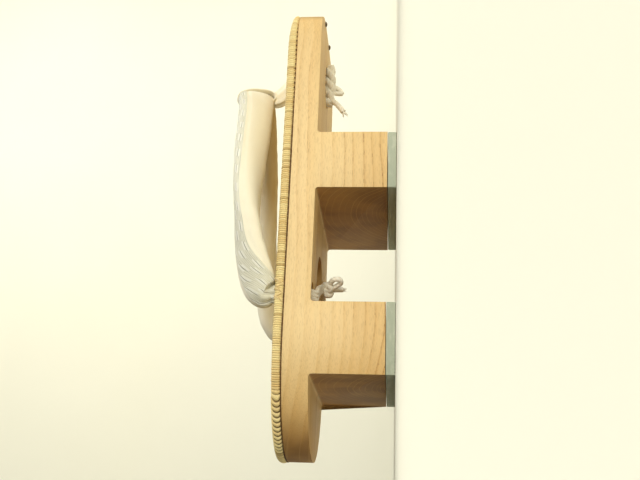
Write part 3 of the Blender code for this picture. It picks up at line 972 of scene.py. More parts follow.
def frayed_end(name: str, tip: Vector, ahead: Vector, length: float, seed: int) -> bpy.types.Object:
    """A brush of loose fibres where a cord was cut.

    Args:
        name: Name of the piece.
        tip: Where the fibres start.
        ahead: Which way the cord points there.
        length: Length of the longest fibre.
        seed: Seed for the fibres' spread.

    Returns:
        The fibres as one mesh.
    """
    chance = random.Random(seed)
    fibres = []
    corners = np.arange(FIBRE_SIDES + 1) / FIBRE_SIDES
    angles = 2 * np.pi * corners[:-1]
    for index in range(FIBRE_COUNT):
        spread = Vector([chance.uniform(-1, 1) for _ in range(3)]) * 0.5
        reach = length * chance.uniform(0.6, 1.0)
        start = tip + spread * 1.4 * MM
        middle = start + (ahead + spread * 0.5).normalized() * reach * 0.55
        end = middle + (ahead + spread * 1.5).normalized() * reach * 0.45
        path = smooth_rows([tuple(start), tuple(middle), tuple(end)], 4)
        side, third = level_frames(path, (0.3, 0.5, 0.8))
        stations = np.arange(len(path))
        radius = FIBRE_RADIUS * (1.0 - 0.7 * stations / stations[-1])[:, None]
        rings = rings_round(path, side, third, radius * np.cos(angles), radius * np.sin(angles))
        fibres.append(skin(f"{name}_{index}", rings, marks_of(stations * 0.8 + index, corners), False))
    return join_pieces(fibres, name)


@dataclass(frozen=True)
class Plan:
    """The sandal's outline seen from above, and its levels, as the CAD has them."""

    length: float = 239.2 * MM
    width: float = 92.4 * MM
    toe_curve: float = 32.0 * MM
    toe_squareness: float = 3.1
    heel_curve: float = 56.0 * MM
    heel_squareness: float = 2.1
    underside: float = 40.1 * MM
    mat_bottom: float = 52.8 * MM
    mat_thickness: float = 4.7 * MM
    mat_toe_thickness: float = 1.9 * MM
    mat_taper: float = 34.0 * MM
    front_hole_y: float = 90.2 * MM
    rear_hole_y: float = -44.8 * MM
    rear_hole_x: float = 37.5 * MM
    hole_radius: float = 5.1 * MM
    overhang: float = 0.4 * MM
    cord_depth: float = 9.3 * MM

    def quarter(self, half_width: float, reach: float, squareness: float, count: int) -> np.ndarray:
        """Points from the tip at (0, reach) to the side at (half_width, 0).

        Args:
            half_width: Distance to the side.
            reach: Distance to the tip.
            squareness: 2 for an ellipse, and more for a squarer curve.
            count: Number of points.

        Returns:
            The points, as x and y.
        """
        angles = np.linspace(0.0, math.pi / 2, count)
        power = 2 / squareness
        return np.stack([half_width * np.sin(angles) ** power, reach * np.cos(angles).clip(0) ** power], axis=1)

    def curve_starts(self) -> tuple[float, float]:
        """Places along the length where the toe's curve and the heel's curve start."""
        return self.length / 2 - self.toe_curve, self.heel_curve - self.length / 2

    def outline(self, grow: float) -> np.ndarray:
        """The closed outline from the toe tip round the right side, grown by an amount, finely divided.

        Args:
            grow: How far it lies outside the board's own.

        Returns:
            Its points, as x and y.
        """
        half = self.width / 2 + grow
        toe_start, heel_start = self.curve_starts()
        toe = self.quarter(half, self.toe_curve + grow, self.toe_squareness, 240) + [0.0, toe_start]
        heel = self.quarter(half, self.heel_curve + grow, self.heel_squareness, 300) * [1.0, -1.0]
        right = np.vstack([toe, heel[::-1] + [0.0, heel_start]])
        left = right[::-1][1:-1] * [-1.0, 1.0]
        return np.vstack([right, left, right[:1]])

    def half_width_at(self, y: float, grow: float) -> float:
        """Half the width at a place along the length, grown by an amount.

        Args:
            y: The place.
            grow: How far the outline is grown.

        Returns:
            Half the width.
        """
        half = self.width / 2 + grow
        toe_start, heel_start = self.curve_starts()
        toe = (y - toe_start, self.toe_curve + grow, self.toe_squareness)
        heel = (heel_start - y, self.heel_curve + grow, self.heel_squareness)
        for past, curve, squareness in (toe, heel):
            if past > 0:
                return half * (1 - min(1.0, past / curve) ** squareness) ** (1 / squareness)
        return half

    def mat_thickness_at(self, y: float) -> float:
        """Thickness of the mat, which thins towards the toe.

        Args:
            y: The place along the length.

        Returns:
            The thickness.
        """
        start = self.length / 2 + self.overhang - self.mat_taper
        share = min(1.0, max(0.0, (y - start) / self.mat_taper))
        return self.mat_thickness - (self.mat_thickness - self.mat_toe_thickness) * share * share

    def mat_top(self) -> float:
        """Level of the mat's upper face away from the toe."""
        return self.mat_bottom + self.mat_thickness

    def cord_top(self) -> float:
        """Level in the holes up to which the ties' cords reach."""
        return self.mat_top() - self.cord_depth

    def holes(self) -> list[Vector]:
        """The three holes that the thong goes into."""
        rear = [Vector((side.value * self.rear_hole_x, self.rear_hole_y)) for side in Side]
        return [Vector((0.0, self.front_hole_y)), *rear]


@dataclass
class WoodenBlock:
    """The carved block with its board and two teeth."""

    edge_softness: float = 0.28 * MM
    bevelled_from: float = 55.0
    sharp_from: float = 32.0

    def build(self) -> None:
        """Builds the block and dresses it."""
        block = copy_of_node("wooden_block", "carved_block")
        limit = math.radians(self.bevelled_from)
        apply_modifier(
            block, "BEVEL", width=self.edge_softness, segments=2, limit_method="ANGLE", angle_limit=limit
        )
        round_shading(block, self.sharp_from)
        self.mark_end_grain(block)
        cover(block, PaulowniaWood().material())
        fit_piece(block, "wood", "wooden_block")

    def mark_end_grain(self, block: bpy.types.Object) -> None:
        """Stores on each face corner how squarely the surface there cuts the grain.

        Args:
            block: The block.
        """
        normals = np.zeros(len(block.data.loops) * 3, dtype=np.float32)
        block.data.corner_normals.foreach_get("vector", normals)
        store(block, "end_grain", "CORNER", np.abs(normals.reshape(-1, 3)[:, 1]))


@dataclass
class RubberPlates:
    """The rubber plates under the teeth, with fine tread grooves across the sandal."""

    plan: Plan
    pitch: float = 1.5 * MM
    groove_radius: float = 0.52 * MM
    groove_drop: float = 0.04 * MM
    plain_ends: float = 1.4 * MM
    sharp_from: float = 35.0

    def build(self) -> None:
        """Builds both plates and dresses them."""
        finish = MouldedRubber().material()
        for tooth in Tooth:
            plate = copy_of_node(tooth.value, tooth.name.lower() + "_tread_plate")
            cutter = self.grooves(tooth)
            apply_modifier(plate, "BOOLEAN", operation="DIFFERENCE", object=cutter, solver="EXACT")
            bpy.data.objects.remove(cutter, do_unlink=True)
            round_shading(plate, self.sharp_from)
            cover(plate, finish)
            fit_piece(plate, "rubber", tooth.value)

    def grooves(self, tooth: Tooth) -> bpy.types.Object:
        """One round bar across the sandal, copied along the plate as a cutter.

        Args:
            tooth: The tooth whose plate is cut.

        Returns:
            The cutter.
        """
        low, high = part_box(tooth.value)
        count = int((high[1] - low[1] - self.plain_ends) / self.pitch) + 1
        start = (low[1] + high[1]) / 2 - self.pitch * (count - 1) / 2
        bpy.ops.object.select_all(action="DESELECT")
        bpy.ops.mesh.primitive_cylinder_add(
            vertices=8,
            radius=self.groove_radius,
            depth=self.plan.width * 1.2,
            location=(0.0, start, low[2] - self.groove_drop),
            rotation=(0.0, math.pi / 2, 0.0),
        )
        bar = name_it(bpy.context.object, "groove_bar")
        settle(bar)
        step = (0.0, self.pitch, 0.0)
        offset = {"use_relative_offset": False, "use_constant_offset": True, "constant_offset_displace": step}
        apply_modifier(bar, "ARRAY", count=count, **offset)
        return bar


@dataclass
class WovenMat:
    """The mat: a weave over the top, strips wrapped over its edge, and a coarse winding round the heel."""

    plan: Plan
    edge_roll: float = 2.1 * MM
    pitch: float = 1.12 * MM
    winding_pitch: float = 2.7 * MM
    winding_start_y: float = -94.0 * MM
    winding_change: float = 6.0 * MM
    border: float = 6.4 * MM
    column: float = 8.6 * MM
    ridge: float = 0.26 * MM
    winding_ridge: float = 0.9 * MM
    edge_gap: float = 0.24
    weave_gap: float = 0.34
    mark_start: tuple[float, float] = (300.0, 60.0)
    thread_inset: float = 0.55 * MM
    thread_radius: float = 0.30 * MM
    thread_step: float = 0.35 * MM
    thread_sides: int = 8
    stitch_pitch: float = 2.8 * MM
    stitches_from: float = 48.0 * MM
    stitches_part_over: float = 18.0 * MM
    hidden_from: float = 99.0 * MM
    hidden_over: float = 5.0 * MM
    straw_radius: float = 0.62 * MM
    straw_shifts: tuple[float, ...] = (-4.6, -2.6, -0.4, 1.9, 3.9)
    straw_leans: tuple[float, ...] = (1.6, -1.9, 1.2, -1.5, 1.8)
    sharp_from: float = 60.0

    def build(self) -> None:
        """Builds the border, the weave, the thread and the turns of straw, and dresses them."""
        finish = WrappedStraw()
        border = self.edge_border()
        cover(border, finish.material("wrapped sheath strips", self.edge_gap))
        weave = self.top_weave()
        cover(weave, finish.material("woven sheath strips", self.weave_gap))
        thread = self.seam_thread()
        cover(thread, SeamThread().material())
        for piece in (border, weave, thread, self.straw_turns()):
            fit_piece(piece, "mat", "woven_mat")

    def seam_thread(self) -> bpy.types.Object:
        """The dark thread between mat and wood: separate stitches towards the toe, drawn tight behind.

        Returns:
            The thread.
        """
        outline = self.plan.outline(self.plan.overhang - self.thread_inset)
        reach = lengths_along(outline)
        whole = reach[-1]
        count = int(whole / self.thread_step)
        distances = whole * np.arange(count) / count
        path = places_at(distances, reach, outline)
        ahead = places_at(distances + 0.2 * MM, reach, outline) - path
        ahead /= np.linalg.norm(ahead, axis=1)[:, None]
        wave = 0.5 + 0.5 * np.cos(2 * np.pi * round(whole / self.stitch_pitch) * distances / whole)
        apart = ((path[:, 1] - self.stitches_from) / self.stitches_part_over).clip(0.0, 1.0)
        hidden = ((path[:, 1] - self.hidden_from) / self.hidden_over).clip(0.0, 1.0)
        own = np.array([noise.noise(Vector((distance * 130, 0.3, 2.0))) for distance in distances])
        stitch = wave ** (0.3 + 3.7 * apart) * (0.4 + 0.95 * apart) * (1.0 - hidden)
        radius = self.thread_radius * (0.62 - 0.54 * apart + stitch) * (1.0 + 0.6 * own)
        centres = np.column_stack([path, np.full(count, self.plan.mat_bottom + 0.1 * MM)])
        side = np.column_stack([ahead[:, 1], -ahead[:, 0], np.zeros(count)])
        turns = 2 * np.pi * np.arange(self.thread_sides) / self.thread_sides
        aside, lift = radius[:, None] * np.cos(turns), radius[:, None] * np.sin(turns)
        rings = rings_round(centres, side, np.array(UP), aside, lift)
        marks = marks_of(np.append(distances, whole) / MM, 0.3 * np.arange(self.thread_sides + 1))
        return skin("mat_seam_thread", rings, marks, True)

    def straw_turns(self) -> bpy.types.Object:
        """Turns of straw that bind the mat's edge beside each rear hole.

        Returns:
            The turns beside both holes, as one piece.
        """
        # The grooves between the twisted straws get a deep painted shade.
        finish = HempCord(light=tint(232, 206, 146), groove=tint(150, 106, 50), plies=2, lay=7.0)
        plan, half_height = self.plan, self.plan.mat_thickness / 2
        made = []
        for side in Side:
            for number, (shift, lean) in enumerate(zip(self.straw_shifts, self.straw_leans)):
                rows = []
                for angle in np.radians(np.linspace(-80.0, 90.0, 9)):
                    out = plan.width / 2 + plan.overhang - self.edge_roll * (1 - math.cos(angle))
                    y = plan.rear_hole_y + (shift + lean * math.sin(angle)) * MM
                    z = plan.mat_bottom + half_height + (half_height - 0.2 * MM) * math.sin(angle)
                    rows.append((side.value * (out - 0.15 * MM), y, z))
                inner = side.value * (plan.rear_hole_x + 3.6 * MM)
                rows.append((inner, plan.rear_hole_y + 0.7 * shift * MM, plan.mat_top() - 0.7 * MM))
                name = f"straw_{side.name}_{number}"
                made.append(twisted_cord(name, smooth_rows(rows, 3), self.straw_radius, finish))
        turns = join_pieces(made, "mat_hole_binding")
        cover(turns, finish.material())
        return turns

    def strip_numbers(self, outline: np.ndarray) -> tuple[np.ndarray, np.ndarray, np.ndarray]:
        """Numbers the wrapped strips round the outline.

        Args:
            outline: The closed outline.

        Returns:
            Distance along the outline, the strip number there, and how far it is the heel's winding.
        """
        reach = lengths_along(outline)
        coarse = ((self.winding_start_y - outline[:, 1]) / self.winding_change + 0.5).clip(0.0, 1.0)
        rate = 1.0 / (self.pitch + (self.winding_pitch - self.pitch) * coarse)
        number = np.concatenate([[0.0], np.cumsum((rate[1:] + rate[:-1]) / 2 * np.diff(reach))])
        return reach, number * round(number[-1]) / number[-1], coarse

    def edge_border(self) -> bpy.types.Object:
        """The wrapped edge, as one closed tube round the mat.

        Returns:
            The edge, which carries the attribute wound.
        """
        outline = self.plan.outline(self.plan.overhang)
        reach, number, coarse = self.strip_numbers(outline)
        total = int(round(number[-1]))
        places = []
        for strip in range(total):
            samples = 6 if np.interp(strip + 0.5, number, coarse) < 0.5 else 12
            places += [strip + step / samples for step in range(samples)]
        chance = random.Random(5)
        lively = np.array([chance.uniform(0.7, 1.3) for _ in range(total + 2)])
        distances = np.interp(places, number, reach)
        path, before, after = (places_at(distances + off * MM, reach, outline) for off in (0.0, -0.3, 0.3))
        out = (after - before)[:, ::-1] * [-1.0, 1.0]
        out /= np.linalg.norm(out, axis=1)[:, None]
        out[(out * path).sum(axis=1) < 0] *= -1
        wound = np.interp(distances, reach, coarse)[:, None]
        thick = np.array([self.plan.mat_thickness_at(y) for y in path[:, 1]])[:, None]

        section = np.array(self.section())
        inset, level, face_out, face_up, slant = section.T
        turned = np.array(places)[:, None] + wound * slant
        own = lively[turned.astype(int) % total]
        height = 1.0 - np.abs(2.0 * (turned % 1.0) - 1.0) ** 2.4
        height = height * (self.ridge * own * (1 - wound) + self.winding_ridge * wound)
        height -= self.ridge * (1 - wound) + 0.8 * self.winding_ridge * wound
        lift = thick * level + face_up * height * (thick / self.plan.mat_thickness)
        lift = lift.clip(0.0) - 0.18 * MM * (1.0 - level) ** 4
        centres = np.column_stack([path, np.full(len(path), self.plan.mat_bottom)])
        side = np.column_stack([out, np.zeros(len(path))])
        rings = rings_round(centres, side, np.array(UP), face_out * height - inset, lift)

        marks = np.stack(np.broadcast_arrays(turned, lengths_along(section[:, :2]) / MM), axis=2)
        marks = np.concatenate([marks, marks[:, :1]], axis=1)
        marks = np.concatenate([marks, marks[:1] + [total, 0.0]])
        made = skin("mat_wrapped_edge", rings, marks, True)
        store(made, "wound", "POINT", np.repeat(wound, len(section)))
        round_shading(made, self.sharp_from)
        return made

    def section(self) -> list[tuple[float, float, float, float, float]]:
        """The edge's section: inset, level as a share of thickness, outward and upward facing, and the slant.

        Returns:
            One row for each point round the edge.
        """
        rows = [(self.border, 0.30, -0.6, 0.3, 0.55), (self.border, 0.88, -0.2, 1.0, 0.5)]
        rows += [(self.border * share, 1.0, 0.0, 1.0, 0.45 * share) for share in (0.84, 0.66, 0.48)]
        for step in range(9):
            angle = math.pi / 2 - math.pi * step / 8
            cosine, sine = math.cos(angle), math.sin(angle)
            slant = -0.2 + 0.2 * sine - 0.85 * cosine
            rows.append((self.edge_roll * (1 - cosine), 0.5 + 0.5 * sine, cosine, sine, slant))
        rows.append((self.border * 0.7, 0.0, 0.0, -0.5, -1.0))
        return rows

    def top_weave(self) -> bpy.types.Object:
        """The weave over the top, from a finely divided grid that is trimmed to the plan.

        Returns:
            The weave.
        """
        inset = self.plan.overhang - self.border + 1.0 * MM
        rows = int(self.plan.length / self.pitch) * 4
        bpy.ops.object.select_all(action="DESELECT")
        bpy.ops.mesh.primitive_grid_add(x_subdivisions=44, y_subdivisions=rows, size=1.0)
        weave = name_it(bpy.context.object, "mat_weave")
        weave.scale = (self.plan.width, self.plan.length, 1.0)
        settle(weave)
        for vertex in weave.data.vertices:
            x, y, _ = vertex.co
            reach = self.plan.half_width_at(y, inset) if abs(y) < self.plan.length / 2 + inset else 0.0
            x = max(-reach, min(reach, x))
            vertex.co = (x, y, self.weave_level(x, y, reach))
        self.mark_weave(weave)
        others = {"use_wire": False, "use_multi_face": False, "use_non_contiguous": False, "use_verts": False}
        with editing(weave):
            bpy.ops.mesh.remove_doubles(threshold=0.02 * MM)
            bpy.ops.mesh.select_all(action="DESELECT")
            bpy.ops.mesh.select_non_manifold(**others)
            bpy.ops.mesh.extrude_region_move(TRANSFORM_OT_translate={"value": (0.0, 0.0, -1.0 * MM)})
            bpy.ops.mesh.edge_face_add()
            bpy.ops.mesh.select_all(action="SELECT")
            bpy.ops.mesh.normals_make_consistent(inside=False)
        round_shading(weave, self.sharp_from)
        return weave

    def weave_level(self, x: float, y: float, reach: float) -> float:
        """Height of the weave's face, with its ridges, its columns and a dip round each hole.

        Args:
            x: Place across.
            y: Place along.
            reach: Half the weave's width there.

        Returns:
            The height.
        """
        row = y / self.pitch
        part = row % 1.0
        swell = 0.5 + 0.5 * math.cos(math.pi * (2 * x / self.column + math.floor(row)))
        near_edge = min(1.0, (reach - abs(x)) / (1.5 * MM))
        ridge = (1.0 - abs(2.0 * part - 1.0) ** 2.2) * (0.30 + 0.22 * swell) * MM * (0.4 + 0.6 * near_edge)
        dip = 0.0
        for hole in self.plan.holes():
            away = math.hypot(x - hole.x, y - hole.y) - self.plan.hole_radius * 0.7
            dip += 1.6 * MM * math.exp(-((max(0.0, away) / (2.2 * MM)) ** 2))
        slow = 0.16 * MM * noise.noise(Vector((x * 60, y * 60, 0.4)))
        edge_dip = 0.35 * MM * (1 - near_edge)
        return self.plan.mat_bottom + self.plan.mat_thickness_at(y) - 0.5 * MM + ridge - dip + slow - edge_dip

    def mark_weave(self, weave: bpy.types.Object) -> None:
        """Gives the weave's UV map the strip number and millimetres along it.

        Args:
            weave: The weave.
        """
        mesh = weave.data
        while mesh.uv_layers:
            mesh.uv_layers.remove(mesh.uv_layers[0])
        layer = mesh.uv_layers.new(name="cloth")
        for loop, mark in zip(mesh.loops, layer.data):
            x, y, _ = mesh.vertices[loop.vertex_index].co
            mark.uv = (y / self.pitch + self.mark_start[0], x / MM + self.mark_start[1])


@dataclass
class ThongBands:
    """The padded bands: brocade over the top and the outer edge, cotton lining beneath."""

    plan: Plan
    width: float = 21.0 * MM
    thickness: float = 11.9 * MM
    apex_rise: float = 22.2 * MM
    apex_y: float = 82.8 * MM
    squareness: float = 2.3
    root_depth: float = 9.0 * MM
    neck_share: float = 0.16
    root_radius: float = 4.25 * MM
    level_share: float = 0.35
    plain_reach: float = 100.0
    steps: int = 14
    brocade_points: int = 38
    lining_points: int = 34
    inner_fold: float = 118.0
    girth: float = 54.0
    mark_start: tuple[float, float] = (400.0, 40.0)
    # How far from the joined front the lining's painted shade reaches, and over how many millimetres it fades.
    painted_shade_until: float = 92.0
    painted_shade_fade: float = 36.0

    def rows(self) -> tuple[tuple[float, ...], ...]:
        """Rows from the joined front to the rear hole: run, out, up, wide, thick, roll, and the fold's angle.

        Returns:
            The rows, each as shares of the band's own sizes and two angles in degrees.
        """
        return (
            (0.000, 0.00, 1.000, 0.90, 0.60, 86.0, -48.0),
            (0.010, 0.11, 0.995, 0.93, 0.64, 80.0, -48.0),
            (0.050, 0.23, 0.955, 0.95, 0.78, 64.0, -45.0),
            (0.140, 0.41, 0.900, 0.97, 0.95, 46.0, -34.0),
            (0.257, 0.58, 0.865, 1.00, 1.00, 37.0, -26.0),
            (0.370, 0.74, 0.850, 1.00, 1.00, 30.0, -20.0),
            (0.490, 0.87, 0.825, 1.00, 1.00, 20.0, -6.0),
            (0.610, 0.96, 0.800, 1.00, 1.04, 4.0, 14.0),
            (0.720, 1.01, 0.738, 1.00, 1.06, -17.0, 34.0),
            (0.820, 1.03, 0.635, 1.00, 1.03, -31.0, 44.0),
            (0.905, 1.03, 0.510, 0.98, 1.03, -45.0, 24.0),
            (0.965, 1.02, 0.390, 0.90, 1.00, -55.0, -8.0),
            (1.000, 1.01, 0.270, 0.72, 0.92, -58.0, -30.0),
            (1.000, 1.00, 0.120, 0.42, 0.72, -58.0, -38.0),
        )

    def stations(self) -> np.ndarray:
        """Stations of the right band: x, y, z, half width, half thickness, roll, fold angle, roundness.

        Returns:
            One row for each station.
        """
        made = []
        for run, out, up, wide, thick, roll, fold in smooth_rows(self.rows(), self.steps):
            y = self.apex_y + (self.plan.rear_hole_y - self.apex_y) * run
            place = (self.plan.rear_hole_x * out, y, self.plan.mat_top() + self.apex_rise * up)
            made.append((*place, self.width / 2 * wide, self.thickness / 2 * thick, roll, fold, 0.0))
        last = made[-1]
        for share in np.linspace(0.03, 1.0, 16):
            narrowed = min(1.0, share / self.neck_share)
            down = last[2] - self.root_depth * share
            half = last[3] + (self.root_radius - last[3]) * narrowed
            thin = last[4] + (self.root_radius - last[4]) * narrowed
            made.append((last[0], last[1], down, half, thin, last[5], last[6], narrowed))
        return np.array(made)

    def build(self) -> None:
        """Builds both bands as one padded piece and dresses it."""
        right = self.stations()
        left = right[:0:-1] * [-1, 1, 1, 1, 1, 1, 1, 1]
        stations = np.vstack([left, right])
        centres = stations[:, :3]
        along = lengths_along(centres) / MM
        along = along - along[len(left)]
        side = Vector((-1.0, 0.0, 0.0))
        rings, across = [], []
        for station, direction, place in zip(stations, np.gradient(centres, axis=0), along):
            tangent = Vector(direction).normalized()
            level = Vector((-tangent.y, tangent.x, 0.0))
            if level.length > self.level_share:
                level.normalize()
                side = -level if level.dot(side) < 0 else level
            points, nominal = self.ring(station, side, tangent.cross(side).normalized(), place)
            rings.append(points)
            across.append(nominal)
        rings = np.array(rings)
        self.keep_apart(rings, centres, along)
        marks = np.stack(np.broadcast_arrays(along[:, None], np.array(across)), axis=2) + self.mark_start
        finishes = [0] * self.brocade_points + [1] * self.lining_points
        bands = skin("padded_thong", rings, marks, False, finishes)
        self.mark_painted_shade(bands, along)
        bands.data.materials.append(SilverBrocade().material())
        bands.data.materials.append(CreamCotton().material("cream cotton lining"))
        fit_piece(bands, "thong_cover", "thong_bands")

    def mark_painted_shade(self, bands: bpy.types.Object, along: np.ndarray) -> None:
        """Stores the lining's painted shade: most beside the inner fold, where the band turns under, and less
        towards the rear holes.

        Args:
            bands: The bands.
            along: Millimetres of each section from the joined front.
        """
        # Painted shade on the lining only, strongest beside the inner fold and fading towards the rear holes.
        worn = ((self.painted_shade_until - np.abs(along)) / self.painted_shade_fade).clip(0.12, 1.0)
        across = (np.arange(self.brocade_points + self.lining_points) - self.brocade_points) / self.lining_points
        painted_shade_share = np.where(across < 0.0, 0.0, ((0.72 - across) / 0.40).clip(0.0, 1.0))
        store(bands, "rubbed", "POINT", worn[:, None] * painted_shade_share)

    def keep_apart(self, rings: np.ndarray, centres: np.ndarray, along: np.ndarray) -> None:
        """Moves on the points of a section that would fall behind the one before it, at the bend into a hole.

        Args:
            rings: The sections' points, which it changes.
            centres: The sections' centres.
            along: Millimetres of each section from the joined front, less than 0 on the left.
        """
        for side in Side:
            for number in np.flatnonzero(side.value * along > self.plain_reach)[:: side.value]:
                before = number - side.value
                step = centres[number] - centres[before]
                ahead = step / max(float(np.linalg.norm(step)), 1e-9)
                short = np.maximum(0.0, 0.02 * MM - (rings[number] - rings[before]) @ ahead)
                rings[number] += short[:, None] * ahead[None, :]

    def ring(self, station: np.ndarray, side: Vector, up: Vector, along: float) -> tuple[np.ndarray, np.ndarray]:
        """The band's section at a station.

        Args:
            station: One row of stations().
            side: Level direction to the band's outer edge.
            up: Direction square to it and to the band.
            along: Millimetres from the joined front, less than 0 on the left.

        Returns:
            The section's points from the outer fold over the top, and their millimetres across.
        """
        centre, half, thin = Vector(station[:3]), station[3], station[4]
        roll, fold, rounded = math.radians(station[5]), math.radians(station[6]), station[7]
        across = side * math.cos(roll) + up * math.sin(roll)
        through = up * math.cos(roll) - side * math.sin(roll)
        inner = math.radians(self.inner_fold)
        top = np.linspace(fold, inner, self.brocade_points, endpoint=False)
        below = np.linspace(inner, fold + 2 * math.pi, self.lining_points + 1)
        angles = np.concatenate([top, below])
        power = 2 / (self.squareness + (2.0 - self.squareness) * rounded)
        gather = min(1.0, max(0.0, (0.92 - half / (self.width / 2)) / 0.35)) if abs(along) > 60 else 0.0
        points = []
        for number, angle in enumerate(angles):
            cosine, sine = math.cos(angle), math.sin(angle)
            wide = math.copysign(abs(cosine) ** power, cosine)
            thick = math.copysign(abs(sine) ** power, sine)
            flat = across * (half * wide) + through * (thin * thick)
            out = (across * (cosine / half) + through * (sine / thin)).normalized()
            lift = self.relief(angle, number, along, gather)
            points.append(centre + flat + out * lift)
        nominal = self.girth * (angles - fold) / (2 * math.pi)
        return np.array([tuple(point) for point in points[:-1]]), nominal

    def relief(self, angle: float, number: int, along: float, gather: float) -> float:
        """How far the cloth stands above the plain section: the folded hem, wrinkles and gathers.

        Args:
            angle: Place round the section.
            number: Number of the point, from the outer fold over the top.
            along: Millimetres from the joined front, less than 0 on the left.
            gather: Strength of the gathers, from 0 to 1.

        Returns:
            The height above the plain section.
        """
        count = self.brocade_points + self.lining_points
        at_lining = number >= self.brocade_points
        lift = 0.0
        if number in (0, count):
            lift = 0.36 * MM
        elif not at_lining:
            lift = 0.32 * MM
        elif count - number <= 2:
            lift = -0.30 * MM
        puff = noise.noise(Vector((along * 0.055, angle * 0.8, 1.7)))
        crease = noise.noise(Vector((along * 0.21, angle * 1.1 + along * 0.02, 6.1)))
        lift += 0.28 * MM * puff + 0.14 * MM * crease * (1.8 if at_lining else 0.6)
        lift += 0.42 * MM * gather * math.cos(9 * angle + 0.6 * math.sin(along * 0.3))
        pinch = math.exp(-((along / 5.0) ** 2))
        lift -= 0.45 * MM * pinch * (0.5 + 0.5 * math.cos(along * 1.9))
        return lift


@dataclass
class ToeThong:
    """The soft cotton loop round the joined front of the bands, and its neck into the front hole."""

    plan: Plan
    bands: ThongBands
    thickness: float = 1.0 * MM
    half_width: float = 4.2 * MM
    clearance: float = 0.35 * MM
    neck_radius: float = 2.7 * MM
    neck_spread: float = 1.45
    depth: float = 9.0 * MM
    stations: int = 120
    loop_sides: int = 24
    neck_sides: int = 36
    neck_limit: float = 4.25 * MM

    def build(self) -> None:
        """Builds the loop and the neck and dresses them."""
        finish = CreamCotton(dull=tint(236, 224, 196)).material("soft cotton thong")
        thong = join_pieces([self.loop(), self.neck()], "soft_toe_thong")
        cover(thong, finish)
        fit_piece(thong, "toe_thong_cloth", "toe_thong")

    def loop(self) -> bpy.types.Object:
        """The flattened tube of cloth that goes round the bands.

        Returns:
            The loop.
        """
        row = self.bands.rows()[0]
        reach = self.clearance + self.thickness
        half_height = self.bands.width / 2 * row[3] + reach
        half_length = self.bands.thickness / 2 * row[4] + reach
        level = self.plan.mat_top() + self.bands.apex_rise
        power = 2 / self.bands.squareness
        angles = 2 * np.pi * np.arange(self.stations) / self.stations
        cosine, sine, none = np.cos(angles), np.sin(angles), np.zeros(self.stations)
        high, long = (np.copysign(np.abs(v) ** power, v) for v in (cosine, sine))
        centres = np.column_stack([none, self.bands.apex_y + half_length * long, level - half_height * high])
        out = np.column_stack([none, sine / half_length, -cosine / half_height])
        out /= np.linalg.norm(out, axis=1)[:, None]
        uneven = [noise.noise(Vector((0.0, y, z))) for y, z in zip(cosine * 2, sine * 2)]
        spread = 1.0 + 0.12 * np.array(uneven)[:, None]
        turns = 2 * np.pi * np.arange(self.loop_sides) / self.loop_sides
        pleat = 0.16 * MM * np.cos(5 * turns + 0.8 * np.sin(2 * angles)[:, None])
        aside = (self.half_width * spread + pleat) * np.cos(turns)
        rings = rings_round(centres, np.array(RIGHTWARDS), out, aside, (self.thickness + pleat) * np.sin(turns))
        marks = marks_of(0.6 * np.arange(self.stations + 1), 0.5 * np.arange(self.loop_sides + 1))
        return skin("thong_loop", rings, marks, True)

    def neck(self) -> bpy.types.Object:
        """The pleated neck from the loop down through the mat.

        Returns:
            The neck.
        """
        row = self.bands.rows()[0]
        top, front, back = self.plan.mat_top(), self.plan.front_hole_y, self.bands.apex_y
        loop_bottom = top + self.bands.apex_rise - self.bands.width / 2 * row[3] - self.clearance - self.thickness
        given = [
            (0.0, back, loop_bottom + 0.6 * MM, 1.20),
            (0.0, back + 0.4 * MM, loop_bottom - 1.6 * MM, 1.25),
            (0.0, (back + front) / 2, (loop_bottom + top) / 2, 1.3),
            (0.0, front, top + 1.8 * MM, 1.35),
            (0.0, front, top - 0.4 * MM, 1.5),
            (0.0, front, top - self.depth, 1.5),
        ]
        path = smooth_rows(given, 10)
        centres, share = path[:, :3], path[:, 3:]
        side, third = level_frames(centres, RIGHTWARDS)
        stations = np.arange(len(path))
        turns = 2 * np.pi * np.arange(self.neck_sides) / self.neck_sides
        pleat = 1.0 + 0.09 * np.cos(7 * turns + 0.09 * stations[:, None])
        radius = np.minimum(self.neck_radius * share * pleat, self.neck_limit)
        spread = np.where(centres[:, 2:] > top, self.neck_spread, 1.0)
        rings = rings_round(centres, side, third, radius * np.cos(turns), spread * radius * np.sin(turns))
        return skin("thong_neck", rings, marks_of(0.5 * stations, 0.5 * np.arange(self.neck_sides + 1)), False)


